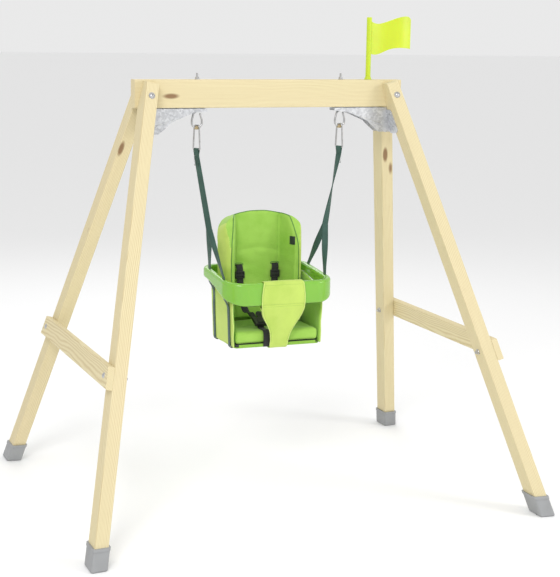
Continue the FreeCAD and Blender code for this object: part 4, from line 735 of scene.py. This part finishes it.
def puff(pad, pressure, cap, stiffness=12.0):
    """Swells a pad by air pressure and keeps each point within cap metres of its start."""
    start = np.array([v.co for v in pad.data.vertices])
    cloth = pad.modifiers.new("cloth", "CLOTH")
    cloth.settings.use_pressure = True
    cloth.settings.uniform_pressure_force = pressure
    cloth.settings.effector_weights.gravity = 0.0
    cloth.settings.tension_stiffness = cloth.settings.compression_stiffness = stiffness
    cloth.settings.bending_stiffness = 0.4
    cloth.settings.quality = 5
    cloth.collision_settings.use_collision = False
    cloth.point_cache.frame_start, cloth.point_cache.frame_end = 1, PUFF_FRAMES
    for step in range(1, PUFF_FRAMES + 1):
        bpy.context.scene.frame_set(step)
    apply_shape(pad)
    bpy.context.scene.frame_set(1)
    moved = np.array([v.co for v in pad.data.vertices]) - start
    far = np.linalg.norm(moved, axis=1, keepdims=True)
    held = start + moved * np.minimum(1.0, cap / np.maximum(far, 1e-9))
    pad.data.vertices.foreach_set("co", held.astype(np.float32).ravel())
    pad.data.update()


def finish_pad(pad, finish, node, body="swing_seat", levels=1):
    """Smooths, subdivides, paints and declares a pad."""
    smooth = pad.modifiers.new("settle", "SMOOTH")
    smooth.factor, smooth.iterations = 0.4, 4
    if levels:
        fine = pad.modifiers.new("fine", "SUBSURF")
        fine.levels = fine.render_levels = levels
    apply_shape(pad)
    for face in pad.data.polygons:
        face.use_smooth = True
    pad.data.materials.clear()
    pad.data.materials.append(finish)
    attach(pad, body)
    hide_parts(node)
    low, high = np.array([v.co for v in pad.data.vertices]).min(0), \
        np.array([v.co for v in pad.data.vertices]).max(0)
    print(pad.name, len(pad.data.polygons), "faces, size", (high - low).round(3))


def reshape(pad, rule):
    """Moves every point of a pad by a rule from its place to its shift."""
    points = np.array([v.co for v in pad.data.vertices])
    points = points + rule(points)
    pad.data.vertices.foreach_set("co", points.astype(np.float32).ravel())
    pad.data.update()


def groove(distance, width, depth):
    """Depth of a sewn groove at a distance from its seam."""
    return -depth * np.exp(-(distance / width) ** 2)


# %% [markdown]
# The cushion on the seat board is a foam slab. It is lowest along its sewn front edge and has two
# shallow dimples where the child sits. The board under it keeps its lower face flat.

# %% Seat cushion


def cushion_shift(points):
    x, y, z = points.T
    low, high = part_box("seat_cushion")
    upper = np.clip((z - low.z) / (high.z - low.z), 0, 1) ** 3
    seat = np.exp(-((np.abs(x) - 0.070) / 0.055) ** 2 - ((y - 0.02) / 0.075) ** 2)
    puckers = 0.0012 * np.sin(x / 0.0085 + 1.3 * np.sin(y / 0.05)) * np.exp(-((y - low.y) / 0.016) ** 2)
    shift = np.zeros_like(points)
    shift[:, 2] = upper * (-0.0075 * seat) + upper * puckers
    return shift


cushion = even_skin("cushion", "seat_cushion", 0.0045, 0.0016)
puff(cushion, 3.0, 0.0022)
reshape(cushion, cushion_shift)
finish_pad(cushion, cloth_green, "seat_cushion")

# %% [markdown]
# The back is one thick pad with two wings that reach forward. Where the wings meet the middle a seam
# draws the cloth in, and the wings' outer sides are cut from a lighter cloth. The strap slots are
# plugged before the skin is made, because they are narrower than its faces; bound slots are added
# afterwards.

# %% Back pad
SLOT_WIDE, SLOT_HIGH = 0.028, 0.005
WING_TIP_X, WING_TIP_Y, BACK_FACE_HALF = 0.128, 0.010, 0.085
BACK_TOP_Z, BACK_HALF_WIDTH = 0.994, 0.160


def plug_slots(data):
    """Adds a block in each strap slot, so the skin closes over it."""
    mesh = bmesh.new()
    mesh.from_mesh(data)
    for _, sx in SIDES:
        block = bmesh.ops.create_cube(mesh, size=1.0)["verts"]
        size = Matrix.Diagonal((SLOT_WIDE + 0.008, 0.017, SLOT_HIGH + 0.010, 1))
        place = Matrix.Translation((sx * BELT_SLOT_X, BACK_FACE_Y + 0.0095, BELT_SLOT_Z))
        bmesh.ops.transform(mesh, matrix=place @ size, verts=block)
    mesh.to_mesh(data)
    mesh.free()


def back_shift(points):
    """Seams drawn in beside the middle, a lumbar crease, and puckers round the slots."""
    x, y, z = points.T
    shift = np.zeros_like(points)
    front = np.clip((0.114 - y) / 0.008, 0, 1)
    seam = groove(np.abs(np.abs(x) - BACK_FACE_HALF), 0.006, 0.0045) * front
    shift[:, 1] -= seam
    low_crease = groove(np.abs(z - 0.845 - 0.010 * np.cos(x / 0.045)), 0.009, 0.0028) * front
    shift[:, 1] -= low_crease * np.exp(-(x / 0.095) ** 4)
    for _, sx in SIDES:
        far = np.hypot((x - sx * BELT_SLOT_X) / 1.9, z - BELT_SLOT_Z)
        shift[:, 1] += 0.0032 * np.exp(-(far / 0.016) ** 2) * front
        ripple = np.sin((z - BELT_SLOT_Z) / 0.0075 + (x - sx * BELT_SLOT_X) / 0.03)
        shift[:, 1] += 0.0011 * ripple * np.exp(-(far / 0.04) ** 2) * front
    crown = np.exp(-(x / 0.06) ** 2 - ((z - 0.90) / 0.06) ** 2) * front
    shift[:, 1] -= 0.004 * crown
    lower = np.clip((0.76 - z) / 0.12, 0, 1) * front
    shift[:, 1] += 0.0012 * np.sin(x / 0.012 + 2.2 * np.sin(z / 0.045)) * lower
    return shift


raw = NODES["back_pad"].data.copy()
plug_slots(raw)
kept = NODES["back_pad"].data
NODES["back_pad"].data = raw
back_pad = even_skin("back_pad_cloth", "back_pad", 0.0042, 0.0030)
NODES["back_pad"].data = kept
bpy.data.meshes.remove(raw)
puff(back_pad, 4.0, 0.0052)
reshape(back_pad, back_shift)
finish_pad(back_pad, cloth_green, "back_pad")


def two_cloths(pad, second, chosen):
    """Gives a second cloth to the faces that a rule picks from their middles and normals."""
    pad.data.materials.append(second)
    middles = np.array([f.center for f in pad.data.polygons])
    normals = np.array([f.normal for f in pad.data.polygons])
    pick = chosen(middles, normals).astype(np.int32)
    pad.data.polygons.foreach_set("material_index", pick)
    pad.data.update()
    return int(pick.sum())


def wing_outside(middles, normals):
    """The wings' outer sides and front edges, outside a line from the tip to the rear corner."""
    x, y = np.abs(middles[:, 0]), middles[:, 1]
    line = WING_TIP_X - 0.002 + (y - WING_TIP_Y) * 0.25
    outwards = normals[:, 0] * np.sign(middles[:, 0])
    return (x > line) & (outwards > np.where(y < 0.02, -0.25, 0.30)) & (y < 0.118)


print("light cloth on", two_cloths(back_pad, cloth_lime, wing_outside), "faces")

# %% [markdown]
# The sides are thinner pads. Outside they are the light cloth, crossed by the load webbing, and
# inside the green one. Their lower edge is pulled tight by the seam to the base, which makes the
# short creases beside it.

# %% Side panels


def side_shift(points):
    x, y, z = points.T
    shift = np.zeros_like(points)
    wave = np.sin(z / 0.016 + 1.7 * np.sin(y / 0.03)) + 0.6 * np.sin(y / 0.011 + z / 0.06)
    front = np.exp(-((y - SEAT_FRONT) / 0.045) ** 2)
    low = np.exp(-((z - SEAT_FLOOR_Z) / 0.04) ** 2)
    shift[:, 0] += -np.sign(x) * (0.0007 + 0.0007 * wave) * np.clip(front + low, 0, 1)
    lower_edge = np.array([ring_low_z(v) for v in y])
    shift[:, 0] += np.sign(x) * 0.0033 * np.clip((z - lower_edge) / 0.014, 0, 1) * (np.abs(y) < 0.075)
    for y0 in (STRAP_FRONT_Y, STRAP_REAR_Y):
        shift[:, 0] -= np.sign(x) * 0.0006 * np.exp(-((y - y0) / 0.016) ** 2)
    return shift


for side, sx in SIDES:
    panel = even_skin(f"side_cloth_{side}", f"side_panel_{side}", 0.0030, 0.0012)
    puff(panel, 3.0, 0.0014)
    reshape(panel, side_shift)
    finish_pad(panel, cloth_green, f"side_panel_{side}", levels=0)
    lime_faces = two_cloths(panel, cloth_lime, lambda m, n: n[:, 0] * np.sign(m[:, 0]) > 0.3)
    print("light cloth on", lime_faces, "faces")

# %% [markdown]
# The panel between the legs runs from under the seat up to a sleeve that wraps round the ring. It is
# doubled cloth, so it keeps its outline but sags a little between its seams and folds where it
# narrows.

# %% Crotch panel


def crotch_shift(points):
    x, y, z = points.T
    shift = np.zeros_like(points)
    outside = y < -0.10
    lower = np.clip((0.684 - z) / 0.03, 0, 1) * np.clip((z - 0.545) / 0.03, 0, 1)
    fold = np.sin(x / 0.0105 + (z - 0.60) / 0.045)
    shift[:, 1] += (-0.0022 + 0.0016 * fold) * lower * outside * np.exp(-(x / 0.06) ** 4)
    seam = groove(np.abs(z - 0.690), 0.0035, 0.0018)
    shift[:, 1] -= seam * outside
    wrinkle = np.sin(z / 0.013 + x / 0.028) * np.exp(-((np.abs(x) - 0.07) / 0.02) ** 2)
    shift[:, 1] -= 0.0007 * (1 + wrinkle) * np.clip((z - 0.69) / 0.02, 0, 1) * outside
    return shift


crotch = even_skin("crotch_cloth", "crotch_panel", 0.0026, 0.0006)
puff(crotch, 2.0, 0.0008, 20.0)
reshape(crotch, crotch_shift)
finish_pad(crotch, cloth_lime, "crotch_panel", levels=0)

# %% [markdown]
# ## Outer cloth
# The back and the base are closed outside by single sheets of tougher cloth. Each is a grid of points
# with a width at every row, given its thickness by Solidify, so its edge is a real edge.

# %% Back sheet and base sheet


def cloth_sheet(name, rows, columns, place, thick, finish):
    """Grid of points by place(u, v), with u and v from 0 to 1, thickened and rounded."""
    mesh = bmesh.new()
    grid = [[mesh.verts.new(place(c / columns, r / rows)) for c in range(columns + 1)]
            for r in range(rows + 1)]
    for r in range(rows):
        for c in range(columns):
            mesh.faces.new((grid[r][c], grid[r][c + 1], grid[r + 1][c + 1], grid[r + 1][c]))
    bmesh.ops.recalc_face_normals(mesh, faces=mesh.faces)
    data = bpy.data.meshes.new(name)
    mesh.to_mesh(data)
    mesh.free()
    sheet = bpy.data.objects.new(name, data)
    bpy.context.scene.collection.objects.link(sheet)
    solid = sheet.modifiers.new("thickness", "SOLIDIFY")
    solid.thickness, solid.offset = thick, 0.0
    edge = sheet.modifiers.new("edge", "BEVEL")
    edge.width, edge.segments, edge.limit_method = thick * 0.3, 2, "ANGLE"
    apply_shape(sheet)
    for face in sheet.data.polygons:
        face.use_smooth = True
    sheet.data.materials.append(finish)
    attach(sheet, "swing_seat")
    return sheet


PANEL_THICK, SHEET_THICK = 0.007, 0.0022
BACK_SHEET_HALF = BACK_HALF_WIDTH - 0.024
BACK_SHEET_TOP = BACK_TOP_Z - 0.044


def back_sheet_place(u, v):
    z = SEAT_FLOOR_Z + 0.0006 + v * (BACK_SHEET_TOP - SEAT_FLOOR_Z - 0.0012)
    drop = max(0.0, z - (BACK_SHEET_TOP - 0.040))
    half = BACK_SHEET_HALF - 0.0006 - 0.9 * drop
    x = (2 * u - 1) * half
    ease = math.sin(math.pi * u) * math.sin(math.pi * v)
    puckers = 0.0004 * math.sin(z / 0.011 + 2 * math.sin(x / 0.03)) * abs(2 * u - 1) ** 3
    return x, SEAT_REAR + 0.0018 + 0.0006 * ease + puckers, z


back_sheet = cloth_sheet("back_sheet", 80, 50, back_sheet_place, SHEET_THICK, cloth_base)
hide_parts("back_panel")

BASE_HALF = SEAT_HALF_WIDTH - SEAT_TAPER - PANEL_THICK - 0.0003
BASE_CORNER = 0.014


BASE_LIP = 0.0108


def base_sheet_place(u, v):
    """Up a short lip over the board's front edge, then flat under the board."""
    along = v * (BASE_LIP + SEAT_REAR - SEAT_FRONT) - BASE_LIP
    if along < 0:
        x = (2 * u - 1) * (BASE_HALF - BASE_CORNER)
        return x, SEAT_FRONT + SHEET_THICK / 2, SEAT_FLOOR_Z + SHEET_THICK / 2 - along
    y = SEAT_FRONT + along
    near = min(along, SEAT_REAR - y)
    cut = BASE_CORNER - math.sqrt(max(0.0, BASE_CORNER ** 2 - max(0.0, BASE_CORNER - near) ** 2))
    x = (2 * u - 1) * (BASE_HALF - cut)
    sag = 0.0004 * math.sin(x / 0.021) * math.sin(along / 0.033)
    return x, max(y, SEAT_FRONT + SHEET_THICK / 2), SEAT_FLOOR_Z + SHEET_THICK / 2 + abs(sag)


base_sheet = cloth_sheet("base_sheet", 60, 60, base_sheet_place, SHEET_THICK, cloth_base)
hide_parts("base_cover")
print("back sheet", len(back_sheet.data.polygons), "base sheet", len(base_sheet.data.polygons))

# %% [markdown]
# ## Piping
# A cord in a cloth tube is sewn into the main edges. Each run is a few points near the edge; they are
# joined by a soft curve, laid on the finished cloth by finding the nearest place on it, and swept to a
# thin tube, so the piping follows the cloth's own bulges.

# %% Piping along the edges


def surface_of(piece):
    """Search tree of a finished piece's skin."""
    data = piece.data
    return BVHTree.FromPolygons([v.co.copy() for v in data.vertices],
                                [tuple(f.vertices) for f in data.polygons])


def laid_on(points, skin, lift):
    """Points moved to the nearest place on a skin and lifted off it."""
    found = []
    for point in points:
        place, normal, _, _ = skin.find_nearest(point)
        found.append(place + normal * lift)
    return found


def piping(name, runs, radius, finish, closed=False):
    """Tube along each run of points, as one mesh."""
    curve = bpy.data.curves.new(name, "CURVE")
    curve.dimensions, curve.bevel_depth, curve.bevel_resolution = "3D", radius, 3
    curve.use_fill_caps = True
    for run in runs:
        spline = curve.splines.new("POLY")
        spline.points.add(len(run) - 1)
        for target, point in zip(spline.points, run):
            target.co = (*point, 1)
        spline.use_cyclic_u = closed
    holder = bpy.data.objects.new(name + "_path", curve)
    bpy.context.scene.collection.objects.link(holder)
    bpy.context.view_layer.update()
    data = bpy.data.meshes.new_from_object(holder.evaluated_get(bpy.context.evaluated_depsgraph_get()))
    bpy.data.objects.remove(holder)
    for face in data.polygons:
        face.use_smooth = True
    data.materials.clear()
    data.materials.append(finish)
    tube = bpy.data.objects.new(name, data)
    bpy.context.scene.collection.objects.link(tube)
    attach(tube, "swing_seat")
    print(name, len(data.polygons), "faces")
    return tube


def relaxed(points, times):
    """Evens out a line of points, ends kept."""
    line = np.array([tuple(p) for p in points])
    for _ in range(times):
        line[1:-1] = 0.5 * line[1:-1] + 0.25 * (line[:-2] + line[2:])
    return [Vector(p) for p in line]


PIPING_RADIUS = 0.0016
back_skin = surface_of(back_pad)
half_edge = [(0.0, 0.103, 0.994), (0.045, 0.103, 0.991), (0.085, 0.101, 0.982), (0.102, 0.062, 0.975),
             (0.113, 0.034, 0.934), (0.121, 0.014, 0.885), (0.126, 0.009, 0.84), (0.127, 0.009, 0.72),
             (0.127, 0.009, 0.61)]
edge_points = [Vector((-x, y, z)) for x, y, z in half_edge[:0:-1]] + [Vector(p) for p in half_edge]
edge_line = relaxed(laid_on(smooth_line(edge_points, 260), back_skin, PIPING_RADIUS * 0.4), 6)
piping("back_piping", [edge_line], PIPING_RADIUS, piping_dark)

BINDING_HALF_WIDTH = 0.0165
BINDING_HALF_HEIGHT = 0.0045
BINDING_POINTS = 40
bindings = []
for _, sx in SIDES:
    ring = []
    for k in range(BINDING_POINTS):
        a = 2 * math.pi * k / BINDING_POINTS
        cosine = math.cos(a)
        # The power squares off the ends of the loop; it has no value where the cosine is nil.
        across = BINDING_HALF_WIDTH * cosine * abs(cosine) ** -0.4 if abs(cosine) > 1e-6 else 0
        ring.append(Vector((sx * BELT_SLOT_X + across, BACK_FACE_Y,
                            BELT_SLOT_Z + BINDING_HALF_HEIGHT * math.sin(a))))
    bindings.append(laid_on(ring, back_skin, 0.0006))
piping("slot_bindings", bindings, 0.0013, piping_dark, closed=True)

CROTCH_EDGE = [(0.0735, -0.162, 0.770), (0.080, -0.162, 0.738), (0.0805, -0.162, 0.696),
               (0.0725, -0.157, 0.652), (0.0565, -0.146, 0.624), (0.0405, -0.135, 0.592),
               (0.0345, -0.125, 0.560), (0.0335, -0.119, 0.541)]
crotch_skin = surface_of(crotch)
crotch_runs = []
for _, sx in SIDES:
    line = smooth_line([Vector((sx * x, y, z)) for x, y, z in CROTCH_EDGE], 110)
    crotch_runs.append(relaxed(laid_on(line, crotch_skin, 0.0003), 4))
piping("crotch_piping", crotch_runs, 0.0013, piping_pale)

side_runs = []
for side, sx in SIDES:
    skin = surface_of(bpy.data.objects[f"side_cloth_{side}"])
    line = [Vector((sx * (0.1645 + 0.0065 * k / 59), SEAT_FRONT, SEAT_FLOOR_Z + 0.004 + 0.158 * k / 59))
            for k in range(60)]
    side_runs.append(relaxed(laid_on(line, skin, 0.0006), 4))
piping("side_piping", side_runs, 0.0014, piping_pale)

# %% [markdown]
# ## Stitches
# Every seam is a row of thread loops a few millimetres apart. Geometry Nodes is the right tool: the
# seam is drawn once as a line, resampled at the stitch pitch, and a small rounded loop is set at every
# point, turned along the line. Realize Instances and Set Material end the tree, and the result is
# kept as a plain mesh.

# %% Stitch tree


def stitch_tree():
    tree = bpy.data.node_groups.new("stitch_rows", "GeometryNodeTree")
    for name, kind, flow in (("Seams", "NodeSocketGeometry", "INPUT"), ("Pitch", "NodeSocketFloat", "INPUT"),
                             ("Loop Length", "NodeSocketFloat", "INPUT"),
                             ("Thread Radius", "NodeSocketFloat", "INPUT"),
                             ("Thread", "NodeSocketMaterial", "INPUT"),
                             ("Stitches", "NodeSocketGeometry", "OUTPUT")):
        tree.interface.new_socket(name, in_out=flow, socket_type=kind)
    entry, leave = tree.nodes.new("NodeGroupInput"), tree.nodes.new("NodeGroupOutput")

    def add(kind, mode=None, **wires):
        node = tree.nodes.new(kind)
        if mode:
            node.mode = mode
        for key, value in wires.items():
            socket = node.inputs[key.replace("_", " ")]
            if isinstance(value, bpy.types.NodeSocket):
                tree.links.new(value, socket)
            else:
                socket.default_value = value
        return node

    line = add("GeometryNodeMeshToCurve", Mesh=entry.outputs["Seams"])
    rows = add("GeometryNodeResampleCurve", "LENGTH", Curve=line.outputs[0], Length=entry.outputs["Pitch"])
    loop = add("GeometryNodeMeshUVSphere", Segments=6, Rings=5, Radius=1.0)
    smooth = add("GeometryNodeSetShadeSmooth", Geometry=loop.outputs["Mesh"])
    tangent = add("GeometryNodeInputTangent")
    along = add("FunctionNodeAlignRotationToVector", Vector=tangent.outputs[0])
    along.axis = "X"
    half = add("ShaderNodeMath", Value=entry.outputs["Loop Length"])
    half.operation = "MULTIPLY"
    half.inputs[1].default_value = 0.5
    size = add("ShaderNodeCombineXYZ", X=half.outputs[0], Y=entry.outputs["Thread Radius"],
               Z=entry.outputs["Thread Radius"])
    placed = add("GeometryNodeInstanceOnPoints", Points=rows.outputs[0], Instance=smooth.outputs[0],
                 Rotation=along.outputs[0], Scale=size.outputs[0])
    solid = add("GeometryNodeRealizeInstances", Geometry=placed.outputs[0])
    painted = add("GeometryNodeSetMaterial", Geometry=solid.outputs[0], Material=entry.outputs["Thread"])
    tree.links.new(painted.outputs[0], leave.inputs["Stitches"])
    return tree


STITCHES = stitch_tree()


def sew(name, seams, thread, pitch=0.0042, length=0.0032, radius=0.00042, body="swing_seat"):
    """Rows of stitches along lines of points, as one plain mesh."""
    points, edges = [], []
    for seam in seams:
        first = len(points)
        points += [tuple(p) for p in seam]
        edges += [(first + k, first + k + 1) for k in range(len(seam) - 1)]
    data = bpy.data.meshes.new(name)
    data.from_pydata(points, edges, [])
    piece = bpy.data.objects.new(name, data)
    bpy.context.scene.collection.objects.link(piece)
    rows = piece.modifiers.new("stitches", "NODES")
    rows.node_group = STITCHES
    inputs = {"Pitch": pitch, "Loop Length": length, "Thread Radius": radius, "Thread": thread}
    for item in STITCHES.interface.items_tree:
        value = inputs.get(item.name)
        if value is not None and item.in_out == "INPUT":
            rows[item.identifier] = value
    apply_shape(piece)
    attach(piece, body)
    print(name, len(piece.data.polygons), "faces")
    return piece


def row(points, skin, lift=0.0002, step=0.0025):
    """A seam through points, laid on a skin."""
    line = [Vector(p) for p in points]
    length = sum((b - a).length for a, b in zip(line, line[1:]))
    return laid_on(smooth_line(line, max(4, int(length / step))), skin, lift)


print("stitch tree nodes", len(STITCHES.nodes))

# %% [markdown]
# The panel between the legs has a double row across it below the ring and a row inside each piped
# edge. The sides have a row along each edge of the load webbing, and the back has one beside each
# wing seam. The doubled webbing under each snap hook is closed by a sewn box with a cross in it.

# %% Rows of stitches
FRONT_Y = -0.162
rows = []
for dz in (-0.0035, 0.0045):
    rows.append(row([(-0.072, FRONT_Y, 0.690 + dz), (0, FRONT_Y, 0.690 + dz), (0.072, FRONT_Y, 0.690 + dz)],
                    crotch_skin))
rows.append(row([(-0.070, FRONT_Y, 0.762), (0, FRONT_Y, 0.762), (0.070, FRONT_Y, 0.762)], crotch_skin))
for _, sx in SIDES:
    rows.append(row([(sx * (x - 0.006), y, z) for x, y, z in CROTCH_EDGE[:-1]], crotch_skin))
sew("crotch_stitches", rows, thread_green)

rows = []
for side, sx in SIDES:
    skin = surface_of(bpy.data.objects[f"side_cloth_{side}"])
    for y0 in (STRAP_FRONT_Y, STRAP_REAR_Y):
        for dy in (-0.0135, 0.0135):
            top = ring_low_z(y0) - 0.012
            rows.append(row([(sx * 0.1655, y0 + dy, SEAT_FLOOR_Z + 0.006), (sx * 0.169, y0 + dy, 0.62),
                             (sx * 0.172, y0 + dy, top)], skin))
    rows.append(row([(sx * 0.166, SEAT_FRONT + 0.010, SEAT_FLOOR_Z + 0.005),
                     (sx * 0.169, SEAT_FRONT + 0.010, 0.62),
                     (sx * 0.172, SEAT_FRONT + 0.010, 0.69)], skin))
    rows.append(row([(sx * 0.166, SEAT_FRONT + 0.006, SEAT_FLOOR_Z + 0.007),
                     (sx * 0.166, 0, SEAT_FLOOR_Z + 0.007),
                     (sx * 0.166, SEAT_REAR - 0.024, SEAT_FLOOR_Z + 0.007)], skin))
sew("side_stitches", rows, thread_green)

rows = []
for _, sx in SIDES:
    x = sx * (BACK_FACE_HALF - 0.007)
    rows.append(row([(x, 0.102, 0.61), (x, 0.102, 0.80), (x, 0.102, 0.965)], back_skin))
rows.append(row([(x, 0.102, 0.845 + 0.010 * math.cos(x / 0.045))
                 for x in (-0.07, -0.035, 0, 0.035, 0.07)], back_skin))
sew("back_stitches", rows, thread_green)

cushion_skin = surface_of(cushion)
low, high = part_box("seat_cushion")
rows = [row([(x, low.y, low.z + 0.008) for x in (low.x + 0.016, 0, high.x - 0.016)], cushion_skin)]
sew("cushion_stitches", rows, thread_green)


def box_and_cross(centre, wide, flat, half_wide, top, bottom, off):
    """Sewn box with a cross in it, on both faces of a doubled strap."""
    lines = []
    for face in (-1, 1):
        at = [centre + wide * (u * half_wide) + flat * (face * off) + Vector((0, 0, z))
              for u, z in ((-1, top), (1, top), (1, bottom), (-1, bottom), (-1, top), (1, bottom))]
        lines.append(at)
        lines.append([at[1], at[3]])
    return lines


rows = []
for _, sx in SIDES:
    wide, flat = turned(SNAP_TURN)
    base = Vector((sx * HOOK_X, 0, 0))
    rows += box_and_cross(base, wide, flat, 0.0085, LOOP_CLOSE_Z - 0.006, LOOP_CLOSE_Z - 0.034,
                          WEB_THICK + 0.0001)
sew("webbing_box_stitches", rows, thread_dark, 0.0036, 0.0028, 0.00045)

# %% [markdown]
# The blank tag on the wing is a folded scrap of dark cloth with a stitched border. It carries no mark.

# %% Tag
tag_low, tag_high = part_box("blank_label")
tag_run = Vector((tag_low.x - tag_high.x, tag_high.y - tag_low.y, 0))
tag_start = Vector((tag_high.x, tag_low.y, tag_low.z))
TAG_COLUMNS, TAG_ROWS = 14, 16


def tag_place(u, v):
    rise = v * (tag_high.z - tag_low.z)
    point = tag_start + tag_run * u + Vector((0, 0, rise))
    place, normal, _, _ = back_skin.find_nearest(point)
    return place + normal * 0.0009


tag = cloth_sheet("blank_tag", TAG_ROWS, TAG_COLUMNS, tag_place, 0.0008, tag_cloth)
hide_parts("blank_label")
border = [tag_place(u, v) + Vector((-0.0002, -0.0004, 0)) for u, v in
          ((0.08, 0.07), (0.92, 0.07), (0.92, 0.93), (0.08, 0.93), (0.08, 0.07))]
sew("tag_stitches", [border], thread_green, 0.0026, 0.0019, 0.00028)
